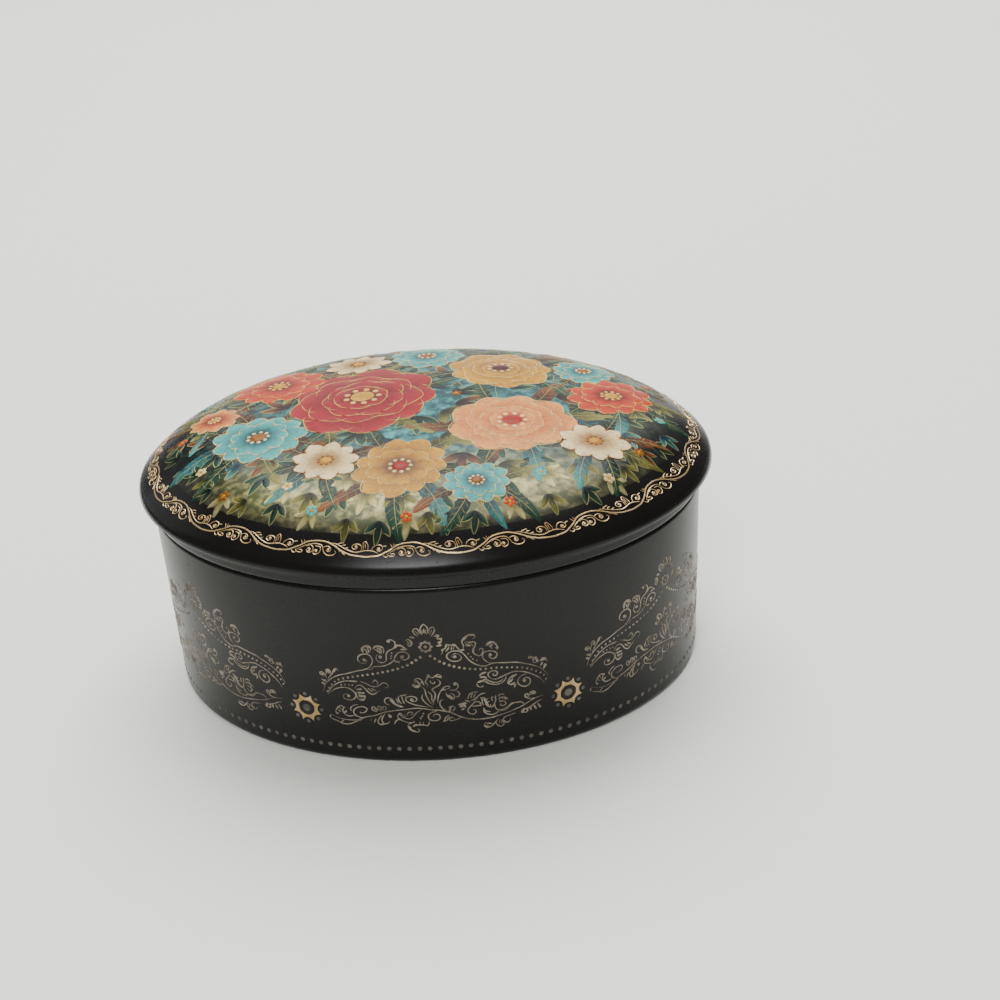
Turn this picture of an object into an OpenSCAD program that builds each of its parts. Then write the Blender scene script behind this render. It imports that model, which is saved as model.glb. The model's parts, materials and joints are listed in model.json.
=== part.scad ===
// Oval porcelain music box with a lift-off lid and an 18-note cylinder movement.
// Millimetres. +Z is up, the origin is on the table under the middle of the box.

/* [Box] */
// Length of the body over its rim
box_l = 84.2; // [82:0.1:100]
// Width of the body over its rim
box_w = 68; // [66:0.1:80]
// Height of the body up to its rim
box_h = 30; // [29:0.1:36]
// How much the wall draws in from the rim to the foot
wall_draft = 0.9; // [0.2:0.1:2]
// Thickness of the porcelain wall
wall_t = 3.2; // [3:0.1:3.8]
// Radius of the rounded foot edge
foot_round = 1.2; // [0.4:0.1:1.6]
// Height of the key recess under the floor
recess_h = 9; // [8:0.1:12]
// Thickness of the porcelain floor
floor_t = 3; // [2.8:0.1:4]

/* [Lid] */
// How far the lid's lip reaches past the rim
lip_reach = 1.9; // [1.4:0.1:3]
// Height of the widest ring of the lip over the rim
lip_z = 2.75; // [2.4:0.05:4]
// Radius of the lip's upper edge
lip_top_r = 2.2; // [1.6:0.1:2.6]
// Radius of the lip's lower edge
lip_low_r = 0.3; // [0.2:0.05:0.5]
// Radius of the cove under the lip
cove_r = 1.35; // [1:0.05:1.45]
// Slope of the dome where it leaves the lip
shoulder_slope = 43; // [36:1:48]
// Radius of the dome's shoulder
shoulder_r = 25; // [20:0.5:28]
// Slope where the shoulder runs into the crown
crown_slope = 8; // [6:1:11]
// Thickness of the porcelain lid
lid_t = 3.2; // [2.4:0.1:3.4]
// Depth of the locating flange below the rim
flange_h = 3; // [2:0.1:4]
// Thickness of the locating flange
flange_t = 2.2; // [1.5:0.1:2.6]
// Clearance between the flange and the wall
flange_gap = 0.35; // [0.2:0.05:0.6]

/* [Spring and key] */
// Outer radius of the spring housing
housing_r = 10.4; // [10.2:0.1:12]
// Height of the spring housing
housing_h = 5.6; // [5:0.1:8]
// Wall of the spring housing
housing_wall = 0.8; // [0.6:0.1:1]
// Radius of the winding arbor
arbor_r = 1.5; // [1.2:0.1:1.8]
// Turns of the mainspring
spring_turns = 5; // [3:1:6]
// Thickness of the mainspring strip
spring_t = 0.35; // [0.25:0.05:0.45]
// Span of the winding key over its wings
key_span = 19; // [16:0.5:22]
// Height of the winding key's wings
key_h = 6.4; // [5.5:0.1:7]
// Thickness of the winding key's wings
key_t = 1.6; // [1.2:0.1:2]

/* [Train] */
// Module of the crown wheel and the cylinder pinion
drive_module = 0.5; // [0.48:0.01:0.52]
// Teeth of the crown wheel
crown_teeth = 36; // [34:1:37]
// Teeth of the cylinder pinion
pinion_teeth = 12; // [11:1:14]
// Module of the cylinder gear and the governor pinion
fine_module = 0.3; // [0.28:0.01:0.32]
// Teeth of the cylinder gear
gear_teeth = 40; // [38:1:42]
// Teeth of the governor pinion
leaf_teeth = 10; // [10:1:12]
// Module of the governor wheel and the worm
worm_module = 0.35; // [0.33:0.01:0.36]
// Teeth of the governor wheel
wheel_teeth = 30; // [28:1:30]
// Pitch radius of the worm
worm_r = 1.5; // [1.4:0.05:1.6]
// Share of the pitch that a tooth fills
tooth_share = 0.4; // [0.36:0.01:0.42]

/* [Music] */
// Number of notes
notes = 18; // [15:1:19]
// Spacing of the notes along the cylinder
note_pitch = 1; // [0.95:0.01:1.05]
// Radius of the melody cylinder
cyl_r = 6.5; // [6:0.1:7]
// Height of a melody pin
pin_h = 0.8; // [0.6:0.1:0.9]
// Radius of a melody pin
pin_r = 0.2; // [0.15:0.01:0.25]
// Number of melody pins
pins = 90; // [60:1:110]
// Length of the longest comb tooth
tooth_long = 9.2; // [8.6:0.1:9.4]
// Length of the shortest comb tooth
tooth_short = 5.4; // [5:0.1:6]
// Thickness of the comb plate
comb_t = 1.4; // [1.2:0.1:1.6]

/* [Bedplate] */
// Width of the bedplate
plate_w = 38; // [37:0.5:40]
// Thickness of the bedplate
plate_t = 1.6; // [1.2:0.1:2]
// Corner radius of the bedplate
plate_corner = 6.4; // [5:0.1:6.6]
// Thickness of the brackets and frame plates
bracket_t = 1; // [0.8:0.1:1.2]
// Wall of the clear dust cover
cover_t = 0.8; // [0.7:0.1:1]
// Gap between the bedplate and the cover
cover_gap = 0.4; // [0.4:0.1:0.6]
// Running clearance of shafts in their bores
run_gap = 0.03; // [0.02:0.01:0.06]
// Gap between neighbouring moving pieces
side_gap = 0.4; // [0.35:0.05:0.5]
// Radius of the fan
fan_r = 3.6; // [3:0.1:3.7]
// Height of the fan
fan_h = 2.6; // [2:0.1:2.8]

/* [Hidden] */
$fn = 96;
eps = 0.01;

// Plan of the oval: a round form drawn to the length and narrowed to the width
rim_r = box_l/2;
narrow = box_w/box_l;

// Gap between pieces that turn over one another
stack_gap = 0.3;

// Heights of the stack on the floor
floor_z = recess_h + floor_t;
plate_z = floor_z + plate_t;
housing_z = plate_z + housing_h;
crown_t = 0.9;
crown_z = housing_z + stack_gap;
crown_root = crown_z + crown_t;
crown_add = 0.9*drive_module;
crown_ded = 1.2*drive_module;
crown_r = crown_teeth*drive_module/2;
crown_face = 1.4;
pinion_r = pinion_teeth*drive_module/2;
cyl_z = crown_root + crown_ded + pinion_r;
cover_z = cyl_z + cyl_r + pin_h + 0.7;
ratchet_t = 0.7;
ratchet_z = crown_root + stack_gap;
clip_t = 0.5;
clip_z = ratchet_z + ratchet_t + 0.15;
key_z = 1.2;
key_bore_z = key_z + 0.8;
core_r = arbor_r + 1.1;
core_h = housing_h - housing_wall - 2*stack_gap;
ratchet_r = arbor_r + 3.1;

// Places along the movement, from the left edge of the bedplate
edge_gap = 0.2;
pinion_w = 1.8;
gear_t = 1.6;
wheel_t = 1;
lever_t = 1;
far_plate_t = 0.8;
cyl_l = notes*note_pitch + 0.6;
worm_tip = worm_r + 0.9*worm_module;
barrel_reach = max(housing_r, crown_r + pinion_w/2);
plate_l = 2*edge_gap + housing_r + barrel_reach + 2*stack_gap + 2*bracket_t + cyl_l + gear_t + wheel_t/2
    + worm_tip + far_plate_t + lever_t + 7*side_gap;
left_x = -plate_l/2;
barrel_x = left_x + edge_gap + housing_r;
pinion_x = barrel_x + crown_r;
bracket_x = barrel_x + barrel_reach + stack_gap;
cyl_x = bracket_x + bracket_t + side_gap;
gear_x = cyl_x + cyl_l + side_gap;
frame_x = gear_x + gear_t + side_gap;
wheel_x = frame_x + bracket_t + 2*side_gap;
worm_x = wheel_x + wheel_t/2;
far_x = worm_x + worm_tip + side_gap;
lever_x = far_x + far_plate_t + side_gap;

// Places across the movement
cyl_y = 1;
leaf_r = leaf_teeth*fine_module/2;
wheel_y = cyl_y + gear_teeth*fine_module/2 + leaf_r;
wheel_r = wheel_teeth*worm_module/2;
worm_y = wheel_y + wheel_r + worm_r;
worm_lead = PI*worm_module;
cyl_arbor_r = 1;
leaf_arbor_r = 0.6;
worm_shaft_r = 0.55;

// Comb
comb_tip_y = cyl_y - cyl_r - pin_h - 0.12;
comb_back_y = 0.9 - plate_w/2;
comb_top = cyl_z + 0.4;
comb_tooth_t = comb_t - 0.5;
comb_slot = 0.35;
comb_hole_y = comb_back_y + 2.4;
comb_screw_l = comb_t + 3.5;
comb_hole_x = [for (s = [-1, 1]) cyl_x + cyl_l/2 + s*0.28*cyl_l];

// Fasteners
screw_r = 0.8;
screw_head_r = 1.5;
screw_head_h = 0.9;
mount_r = 1.25;
mount_head_r = 2.3;
mount_head_h = 1.6;
washer_t = 0.6;
mount_at = [[left_x + 6, -13.5], [-left_x - 5.5, -13.5], [2, 15.5]];
ear_r = 2.2;
ear_t = 1;
housing_ear_y = housing_r + 1.8;
bracket_foot_t = 1;
bracket_w = 6;
bracket_screw_x = cyl_x + 3;
frame_foot_t = 1;
frame_screw_x = (frame_x + bracket_t + far_x)/2;
frame_screw_y = [cyl_y - 2.2, cyl_y + 5];

// Governor
frame_top = cyl_z + 3.9;
fan_z = plate_z + frame_foot_t + side_gap;
cock_t = 0.8;
cock_y = worm_y - 0.9;
cock_w = 2.2;

// Stop lever
lever_y = cyl_y + 1;
lever_h = 0.8;
lever_z = fan_z + fan_h + 0.25 + lever_h/2;
lever_pin_r = 0.6;
lever_hub_r = 1.3;
wire_r = 0.45;
wire_y = lever_y + 8;
lever_end_y = worm_y;
wire_x = lever_x + lever_t/2;

// Lid outline: lip, shoulder and crown as arcs over the offset from the rim
lip_zc = box_h + lip_z;
lip_o = lip_reach - lip_top_r;
dome_o = lip_o + lip_top_r*sin(shoulder_slope);
dome_z0 = lip_zc + lip_top_r*cos(shoulder_slope);
shoulder_o = dome_o - shoulder_r*sin(shoulder_slope);
shoulder_z = dome_z0 - shoulder_r*cos(shoulder_slope);
crown_o = shoulder_o + shoulder_r*sin(crown_slope);
crown_zk = shoulder_z + shoulder_r*cos(crown_slope);
crown_big_r = (crown_o + rim_r)/sin(crown_slope);
crown_zc = crown_zk - crown_big_r*cos(crown_slope);
flange_o = -wall_t - flange_gap;
hollow_o = flange_o - flange_t;

// Height of the dome over an offset from the rim
function dome_z(o) = o > crown_o
    ? shoulder_z + sqrt(shoulder_r*shoulder_r - pow(o - shoulder_o, 2))
    : crown_zc + sqrt(crown_big_r*crown_big_r - pow(o + rim_r, 2));

// Offset from the rim, measured along the length, of a point in plan
function rim_offset(x, y) = norm([x, y/narrow]) - rim_r;

// Points of an arc about a centre, from one angle to another
function arc(c, r, a0, a1, n) = [for (i = [0:n]) let (a = a0 + (a1 - a0)*i/n) c + r*[cos(a), sin(a)]];

// Points of a rectangle with round corners, about its middle
function round_rect(l, w, r) = [for (q = [0:3])
    let (sx = (q == 0 || q == 3) ? 1 : -1, sy = q < 2 ? 1 : -1)
    each arc([sx*(l/2 - r), sy*(w/2 - r)], r, 90*q, 90*q + 90, 8)];

// Outline of an involute gear with thinned teeth
function involute(r, rb) = r <= rb ? 0 : sqrt(r*r/(rb*rb) - 1)*180/PI - acos(rb/r);
function gear_outline(teeth, m, add = 0.9, ded = 1.2, steps = 4) =
    let (rp = teeth*m/2, rb = rp*cos(20), ro = rp + add*m, ri = rp - ded*m)
    let (half = tooth_share*180/teeth + involute(rp, rb), r0 = max(rb, ri))
    let (flank = [for (i = [0:steps]) let (r = r0 + (ro - r0)*i/steps) [r, half - involute(r, rb)]])
    [for (k = [0:teeth - 1]) let (a = 360*k/teeth) each concat(
        [ri*[cos(a - half), sin(a - half)]],
        [for (p = flank) p[0]*[cos(a - p[1]), sin(a - p[1])]],
        [for (i = [steps:-1:0]) let (p = flank[i]) p[0]*[cos(a + p[1]), sin(a + p[1])]],
        [ri*[cos(a + half), sin(a + half)]])];

// An oval turned in two halves from a wall section, given as points of offset from the rim and height
module oval_turned(section) {
    scale([1, narrow, 1]) for (a = [0, 180]) rotate(a)
        rotate_extrude(angle = 180) polygon([for (p = section) [max(0, p[0] + rim_r), p[1]]]);
}

module gear(teeth, m, t) {
    linear_extrude(t) polygon(gear_outline(teeth, m));
}

// A ring or plain disc, standing on z
module disc(r, h, z = 0, bore = 0) {
    translate([0, 0, z]) difference() {
        cylinder(r = r, h = h);
        if (bore > 0) translate([0, 0, -eps]) cylinder(r = bore, h = h + 2*eps);
    }
}

// A cheese-head screw whose head sits on z = 0 and whose shank points down
module screw(r, length, head_r, head_h) {
    slot_w = 0.3*head_r;
    difference() {
        union() {
            cylinder(r = head_r, h = head_h);
            translate([0, 0, -length]) cylinder(r = r, h = length + eps);
        }
        translate([-head_r, -slot_w/2, head_h/2]) cube([2*head_r, slot_w, head_h]);
    }
}

// A bore through a thickness that stands on z = 0, run a little past both faces
module bore(r, thickness) {
    translate([0, 0, -1]) cylinder(r = r, h = thickness + 2);
}

// Pose of pieces that turn about the line of the cylinder
module along_x(x, y, z) {
    translate([x, y, z]) rotate([90, 0, 90]) children();
}

// The body is turned a little too deep, and its foot is then ground flat
module box_body() {
    recess_o = -wall_t - wall_draft;
    foot_o = -wall_draft - foot_round;
    spare = 1;
    grind = 0.05;
    arbor_clear = 0.7;
    mount_clear = 0.35;
    section = concat(
        [[recess_o, -spare], [foot_o, -spare]],
        arc([foot_o, foot_round - grind], foot_round, -90, 0, 5),
        [[0, box_h], [-wall_t, box_h], [-wall_t, floor_z], [-rim_r, floor_z]],
        [[-rim_r, recess_h], [recess_o, recess_h]]);
    color("#2b2a29") difference() {
        oval_turned(section);
        translate([-box_l, -box_w, -2*spare]) cube([2*box_l, 2*box_w, 2*spare]);
        translate([barrel_x, cyl_y, recess_h]) bore(arbor_r + arbor_clear, floor_t);
        for (p = mount_at)
            translate([p[0], p[1], recess_h]) bore(mount_r + mount_clear, floor_t);
    }
}

module lid() {
    neck_o = lip_reach - lip_low_r - cove_r;
    cove_z = lip_zc - lip_low_r;
    outside = concat(
        [[flange_o, box_h - flange_h], [flange_o, box_h], [neck_o, box_h]],
        arc([neck_o + cove_r, cove_z - cove_r], cove_r, 180, 90, 4),
        arc([lip_reach - lip_low_r, lip_zc], lip_low_r, -75, 0, 4),
        arc([lip_o, lip_zc], lip_top_r, 15, 90 - shoulder_slope, 3),
        [for (i = [1:10]) let (a = shoulder_slope + (crown_slope - shoulder_slope)*i/10)
            [shoulder_o + shoulder_r*sin(a), shoulder_z + shoulder_r*cos(a)]],
        [for (i = [1:8]) let (a = crown_slope*(1 - i/8))
            [crown_big_r*sin(a) - rim_r, crown_zc + crown_big_r*cos(a)]]);
    inside = [for (i = [10:-1:0]) let (o = hollow_o - (hollow_o + rim_r)*i/10) [o, dome_z(o) - lid_t]];
    color("#242322") oval_turned(concat(outside, inside, [[hollow_o, box_h - flange_h]]));
}

module bedplate() {
    seat_y1 = comb_tip_y - tooth_short - 0.2;
    seat_top = comb_top - comb_t;
    color("#b9b4a4") difference() {
        union() {
            translate([0, 0, floor_z]) linear_extrude(plate_t)
                polygon(round_rect(plate_l, plate_w, plate_corner));
            translate([cyl_x, comb_back_y, plate_z - eps])
                cube([cyl_l, seat_y1 - comb_back_y, seat_top - plate_z + eps]);
        }
        translate([barrel_x, cyl_y, floor_z]) bore(arbor_r + run_gap, plate_t);
        for (p = mount_at)
            translate([p[0], p[1], floor_z]) bore(mount_r, plate_t);
        for (s = [-1, 1])
            translate([barrel_x, cyl_y + s*housing_ear_y, floor_z]) bore(screw_r, plate_t);
        for (y = frame_screw_y)
            translate([frame_screw_x, y, floor_z]) bore(screw_r, plate_t);
        translate([bracket_screw_x, cyl_y, floor_z]) bore(screw_r, plate_t);
        for (x = comb_hole_x)
            translate([x, comb_hole_y, comb_top - comb_screw_l]) cylinder(r = screw_r, h = comb_screw_l);
    }
}

module mounting_screws() {
    color("#9a9890") for (p = mount_at)
        translate([p[0], p[1], recess_h - washer_t]) mirror([0, 0, 1])
            screw(mount_r, washer_t + floor_t + plate_t, mount_head_r, mount_head_h);
}

module mounting_washers() {
    color("#7a4a32") for (p = mount_at)
        translate([p[0], p[1], recess_h - washer_t]) disc(mount_head_r + 0.9, washer_t, 0, mount_r + 0.05);
}

module spring_housing() {
    color("#c9a45a") translate([barrel_x, cyl_y, plate_z]) difference() {
        union() {
            cylinder(r = housing_r, h = housing_h);
            for (s = [-1, 1]) translate([0, s*housing_ear_y, 0]) {
                cylinder(r = ear_r, h = ear_t);
                translate([-ear_r, -s*ear_r - ear_r, 0]) cube([2*ear_r, 2*ear_r, ear_t]);
            }
        }
        translate([0, 0, -eps]) cylinder(r = housing_r - housing_wall, h = housing_h - housing_wall + eps);
        cylinder(r = arbor_r + run_gap, h = housing_h + 1);
        for (s = [-1, 1]) translate([0, s*housing_ear_y, 0]) bore(screw_r, ear_t);
    }
}

module housing_screws() {
    color("#9a9890") for (s = [-1, 1])
        translate([barrel_x, cyl_y + s*housing_ear_y, plate_z + ear_t])
            screw(screw_r, plate_t + ear_t, screw_head_r, screw_head_h);
}

module mainspring() {
    first_r = core_r + 0.2 + spring_t/2;
    last_r = housing_r - housing_wall - 0.05 - spring_t/2;
    steps = 24*spring_turns;
    function strip(side, i) = let (a = 360*spring_turns*i/steps, r = first_r + (last_r - first_r)*i/steps)
        (r + side*spring_t/2)*[cos(a), sin(a)];
    inner = [for (i = [0:steps]) strip(-1, i)];
    outer = [for (i = [steps:-1:0]) strip(1, i)];
    color("#5b6470") translate([barrel_x, cyl_y, plate_z + stack_gap]) linear_extrude(core_h)
        polygon(concat(inner, outer));
}

module winding_arbor() {
    arbor_top = clip_z + clip_t + 0.25;
    color("#a8a69e") translate([barrel_x, cyl_y, 0]) {
        disc(arbor_r, arbor_top - key_bore_z, key_bore_z);
        disc(core_r, core_h, plate_z + stack_gap);
    }
}

module arbor_clip() {
    color("#6e7078") translate([barrel_x, cyl_y, clip_z]) difference() {
        disc(arbor_r + 1.2, clip_t, 0, arbor_r);
        translate([0, -0.6*arbor_r, -1]) cube([2*arbor_r + 2, 1.2*arbor_r, clip_t + 2]);
    }
}

module ratchet_wheel() {
    teeth = 12;
    notch_r = ratchet_r - 0.7;
    outline = [for (k = [0:teeth - 1]) let (a = 360*k/teeth)
        each [ratchet_r*[cos(a), sin(a)], notch_r*[cos(a + 2), sin(a + 2)]]];
    color("#8f8a7c") translate([barrel_x, cyl_y, ratchet_z]) difference() {
        linear_extrude(ratchet_t) polygon(outline);
        bore(arbor_r, ratchet_t);
    }
}

module winding_key() {
    lobe_r = key_h/2;
    lobe_x = key_span/2 - lobe_r;
    lobe_z = key_z + lobe_r;
    hub_r = arbor_r + 0.9;
    hub_h = recess_h - key_z - 1.2;
    color("#c8a557") translate([barrel_x, cyl_y, 0]) difference() {
        union() {
            translate([0, key_t/2, lobe_z]) rotate([90, 0, 0]) linear_extrude(key_t) {
                for (s = [-1, 1]) translate([s*lobe_x, 0]) circle(r = lobe_r);
                square([2*lobe_x, 0.62*key_h], center = true);
            }
            disc(hub_r, hub_h, key_z);
        }
        for (s = [-1, 1]) translate([s*lobe_x, 0, lobe_z]) rotate([90, 0, 0])
            cylinder(r = 0.42*lobe_r, h = 2*key_t, center = true);
        translate([0, 0, key_bore_z]) cylinder(r = arbor_r, h = recess_h);
    }
}

module crown_wheel() {
    half = tooth_share*PI*drive_module/2;
    slant = tan(20);
    root_h = crown_ded + 0.1;
    section = [[-half - crown_ded*slant, -root_h], [half + crown_ded*slant, -root_h],
        [half - crown_add*slant, crown_add], [crown_add*slant - half, crown_add]];
    color("#cfae62") translate([barrel_x, cyl_y, 0]) {
        difference() {
            union() {
                disc(crown_r + crown_face/2 + 0.2, crown_t, crown_z);
                for (k = [0:crown_teeth - 1]) rotate(360*(k + 0.5)/crown_teeth)
                    translate([crown_r - crown_face/2, 0, crown_root + crown_ded]) rotate([90, 0, 90])
                        linear_extrude(crown_face) polygon(section);
            }
            translate([0, 0, crown_z]) bore(arbor_r + run_gap, crown_t);
        }
    }
}

module click() {
    stud_r = 0.7;
    stud_y = crown_face/2 + 1.2 - crown_r;
    arm_w = 0.5;
    tip = (ratchet_r + 0.15)*[cos(234), sin(234)];
    color("#7f8288") translate([barrel_x, cyl_y, 0]) {
        translate([0, stud_y, crown_root]) cylinder(r = stud_r, h = stack_gap + ratchet_t);
        translate([0, 0, ratchet_z]) linear_extrude(ratchet_t)
            polygon([[0, stud_y - arm_w], [0, stud_y + arm_w], tip, tip*1.08]);
    }
}

// A made-up tune: a rising and falling run of notes spread round the cylinder
function pin_note(k) = round((notes - 1)*(0.5 + 0.5*sin(k*67 + 20*sin(k*11))));
function pin_angle(k) = 344*k/pins;

module melody_cylinder() {
    color("#d3b46c") along_x(cyl_x, cyl_y, cyl_z) difference() {
        union() {
            cylinder(r = cyl_r, h = cyl_l);
            for (k = [0:pins - 1]) rotate(pin_angle(k))
                translate([cyl_r - 0.3, 0, 0.3 + note_pitch*(pin_note(k) + 0.5)]) rotate([0, 90, 0])
                    cylinder(r = pin_r, h = pin_h + 0.3);
        }
        bore(cyl_arbor_r, cyl_l);
    }
}

module cylinder_arbor() {
    x0 = pinion_x - pinion_w/2 - 0.3;
    x1 = frame_x + bracket_t;
    color("#a8a69e") along_x(x0, cyl_y, cyl_z) cylinder(r = cyl_arbor_r, h = x1 - x0);
}

module cylinder_pinion() {
    color("#d8b868") along_x(pinion_x - pinion_w/2, cyl_y, cyl_z) difference() {
        rotate(-90) gear(pinion_teeth, drive_module, pinion_w);
        bore(cyl_arbor_r, pinion_w);
    }
}

module cylinder_gear() {
    color("#d8b868") along_x(gear_x, cyl_y, cyl_z) difference() {
        gear(gear_teeth, fine_module, gear_t);
        bore(cyl_arbor_r, gear_t);
    }
}

module cylinder_bracket() {
    top = cyl_z + cyl_arbor_r + bracket_t;
    color("#b5ad98") difference() {
        union() {
            translate([bracket_x, cyl_y - bracket_w/2, plate_z]) cube([bracket_t, bracket_w, top - plate_z]);
            translate([bracket_x, cyl_y - bracket_w/2, plate_z])
                cube([bracket_screw_x + bracket_w/2 - bracket_x, bracket_w, bracket_foot_t]);
        }
        along_x(bracket_x, cyl_y, cyl_z) bore(cyl_arbor_r + run_gap, bracket_t);
        translate([bracket_screw_x, cyl_y, plate_z]) bore(screw_r, bracket_foot_t);
    }
}

module bracket_screw() {
    color("#9a9890") translate([bracket_screw_x, cyl_y, plate_z + bracket_foot_t])
        screw(screw_r, plate_t + bracket_foot_t, screw_head_r, screw_head_h);
}

module comb() {
    tooth_z = comb_top - comb_tooth_t;
    color("#8b9099") difference() {
        translate([cyl_x, comb_back_y, comb_top - comb_t])
            cube([cyl_l, comb_tip_y - comb_back_y, comb_t]);
        for (i = [0:notes]) {
            run = tooth_long + (tooth_short - tooth_long)*i/notes;
            slot_x = i == 0 ? cyl_x - eps : cyl_x + 0.3 + note_pitch*i - comb_slot/2;
            slot_w = i == notes ? 1 : comb_slot;
            translate([slot_x, comb_tip_y - run, comb_top - comb_t - 1]) cube([slot_w, run + 1, comb_t + 2]);
        }
        for (i = [0:notes - 1]) {
            run = tooth_long + (tooth_short - tooth_long)*(i + 0.5)/notes;
            translate([cyl_x + 0.3 + note_pitch*i - 0.1, comb_tip_y - run, comb_top - comb_t - 1])
                cube([note_pitch + 0.2, run + 1, tooth_z - comb_top + comb_t + 1]);
        }
        for (x = comb_hole_x)
            translate([x, comb_hole_y, comb_top - comb_t]) bore(screw_r, comb_t);
    }
}

module comb_screws() {
    color("#9a9890") for (x = comb_hole_x)
        translate([x, comb_hole_y, comb_top]) screw(screw_r, comb_screw_l, screw_head_r, screw_head_h);
}

module governor_frame() {
    frame_l = far_x + far_plate_t - frame_x;
    wall_h = frame_top - plate_z;
    foot_y0 = cyl_y - 4;
    foot_y1 = worm_y + 2;
    near_y0 = cyl_y - 2.4;
    near_y1 = wheel_y + 2.2;
    far_y0 = lever_y - 2;
    far_y1 = worm_y - fan_r - 0.9;
    window_z = fan_z + fan_h + 1;
    color("#b5ad98") difference() {
        union() {
            translate([frame_x, foot_y0, plate_z]) cube([frame_l, foot_y1 - foot_y0, frame_foot_t]);
            translate([frame_x, near_y0, plate_z]) cube([bracket_t, near_y1 - near_y0, wall_h]);
            translate([far_x, far_y0, plate_z]) cube([far_plate_t, far_y1 - far_y0, wall_h]);
            translate([far_x, far_y0, window_z])
                cube([far_plate_t, cock_y + cock_w - far_y0, frame_top - window_z]);
        }
        along_x(frame_x, cyl_y, cyl_z) bore(cyl_arbor_r + run_gap, bracket_t);
        along_x(frame_x, wheel_y, cyl_z) bore(leaf_arbor_r + run_gap, frame_l);
        along_x(far_x, lever_y, lever_z) bore(lever_pin_r, far_plate_t);
        translate([worm_x, worm_y, plate_z]) bore(worm_shaft_r + run_gap, frame_foot_t);
        for (y = frame_screw_y)
            translate([frame_screw_x, y, plate_z]) bore(screw_r, frame_foot_t);
    }
}

module frame_screws() {
    color("#9a9890") for (y = frame_screw_y)
        translate([frame_screw_x, y, plate_z + frame_foot_t])
            screw(screw_r, plate_t + frame_foot_t, screw_head_r, screw_head_h);
}

module governor_arbor() {
    x0 = gear_x - 0.2;
    pinion_len = gear_t + 0.3;
    x1 = far_x + far_plate_t;
    color("#a8a69e") {
        along_x(x0, wheel_y, cyl_z) rotate(180 + 180/leaf_teeth) gear(leaf_teeth, fine_module, pinion_len);
        along_x(x0, wheel_y, cyl_z) cylinder(r = leaf_arbor_r, h = x1 - x0);
    }
}

module governor_wheel() {
    window_r = 0.2*wheel_r;
    window_at = 0.55*wheel_r;
    color("#d8b868") along_x(wheel_x, wheel_y, cyl_z) difference() {
        gear(wheel_teeth, worm_module, wheel_t);
        bore(leaf_arbor_r, wheel_t);
        for (k = [0:3]) rotate(90*k + 45) translate([window_at, 0, 0]) bore(window_r, wheel_t);
    }
}

// One thread of the worm, swept round its shaft and centred on the wheel's height
module worm_thread() {
    turns = 5;
    per_turn = 20;
    root = worm_r - 1.35*worm_module;
    slant = tan(20);
    half = tooth_share*worm_lead/2;
    wide = half + (worm_r - root)*slant;
    thin = half - (worm_tip - worm_r)*slant;
    section = [[root, -wide], [worm_tip, -thin], [worm_tip, thin], [root, wide]];
    steps = turns*per_turn;
    points = [for (i = [0:steps]) let (a = 360*i/per_turn, up = worm_lead*(i/per_turn - turns/2))
        for (p = section) [p[0]*cos(a), p[0]*sin(a), p[1] + up]];
    sides = [for (i = [0:steps - 1], j = [0:3]) let (b = 4*i, n = (j + 1) % 4)
        each [[b + j, b + n, b + 4 + j], [b + n, b + 4 + n, b + 4 + j]]];
    last = 4*steps;
    caps = [[0, 2, 1], [0, 3, 2], [last, last + 1, last + 2], [last, last + 2, last + 3]];
    polyhedron(points, concat(sides, caps));
}

module worm_shaft() {
    z1 = frame_top + cock_t;
    root = worm_r - 1.3*worm_module;
    thread_h = 6*worm_lead + 0.6;
    color("#a8a69e") translate([worm_x, worm_y, 0]) {
        translate([0, 0, plate_z + 0.1]) cylinder(r = worm_shaft_r, h = z1 - plate_z - 0.1);
        translate([0, 0, cyl_z - thread_h/2]) cylinder(r = root, h = thread_h);
        translate([0, 0, cyl_z]) rotate(-90) worm_thread();
    }
}

module fan() {
    blade_t = 0.5;
    hub_r = worm_shaft_r + 0.7;
    color("#c5c2b4") translate([worm_x, worm_y, fan_z]) difference() {
        union() {
            cylinder(r = hub_r, h = fan_h);
            translate([-fan_r, -blade_t/2, 0.3]) cube([2*fan_r, blade_t, fan_h - 0.3]);
            cylinder(r = 0.6*fan_r, h = 0.3);
        }
        bore(worm_shaft_r, fan_h);
    }
}

module worm_cock() {
    x0 = worm_x - 1.1;
    color("#b5ad98") difference() {
        translate([x0, cock_y, frame_top]) cube([far_x + far_plate_t - x0, cock_w, cock_t]);
        translate([worm_x, worm_y, frame_top]) bore(worm_shaft_r + run_gap, cock_t);
    }
}

module stop_lever() {
    wire_top = dome_z(rim_offset(wire_x, wire_y)) - lid_t - 0.3;
    color("#b8b6ae") {
        difference() {
            union() {
                along_x(lever_x, lever_y, lever_z) cylinder(r = lever_hub_r, h = lever_t);
                translate([lever_x, lever_y, lever_z - lever_h/2])
                    cube([lever_t, lever_end_y - lever_y, lever_h]);
            }
            along_x(lever_x, lever_y, lever_z) bore(lever_pin_r + run_gap, lever_t);
        }
        translate([wire_x, wire_y, lever_z]) cylinder(r = wire_r, h = wire_top - lever_z);
    }
}

module lever_pin() {
    color("#9a9890") {
        along_x(far_x, lever_y, lever_z) cylinder(r = lever_pin_r, h = lever_x + lever_t + 0.15 - far_x);
        along_x(lever_x + lever_t + 0.15, lever_y, lever_z) cylinder(r = lever_pin_r + 0.35, h = 0.3);
    }
}

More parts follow.
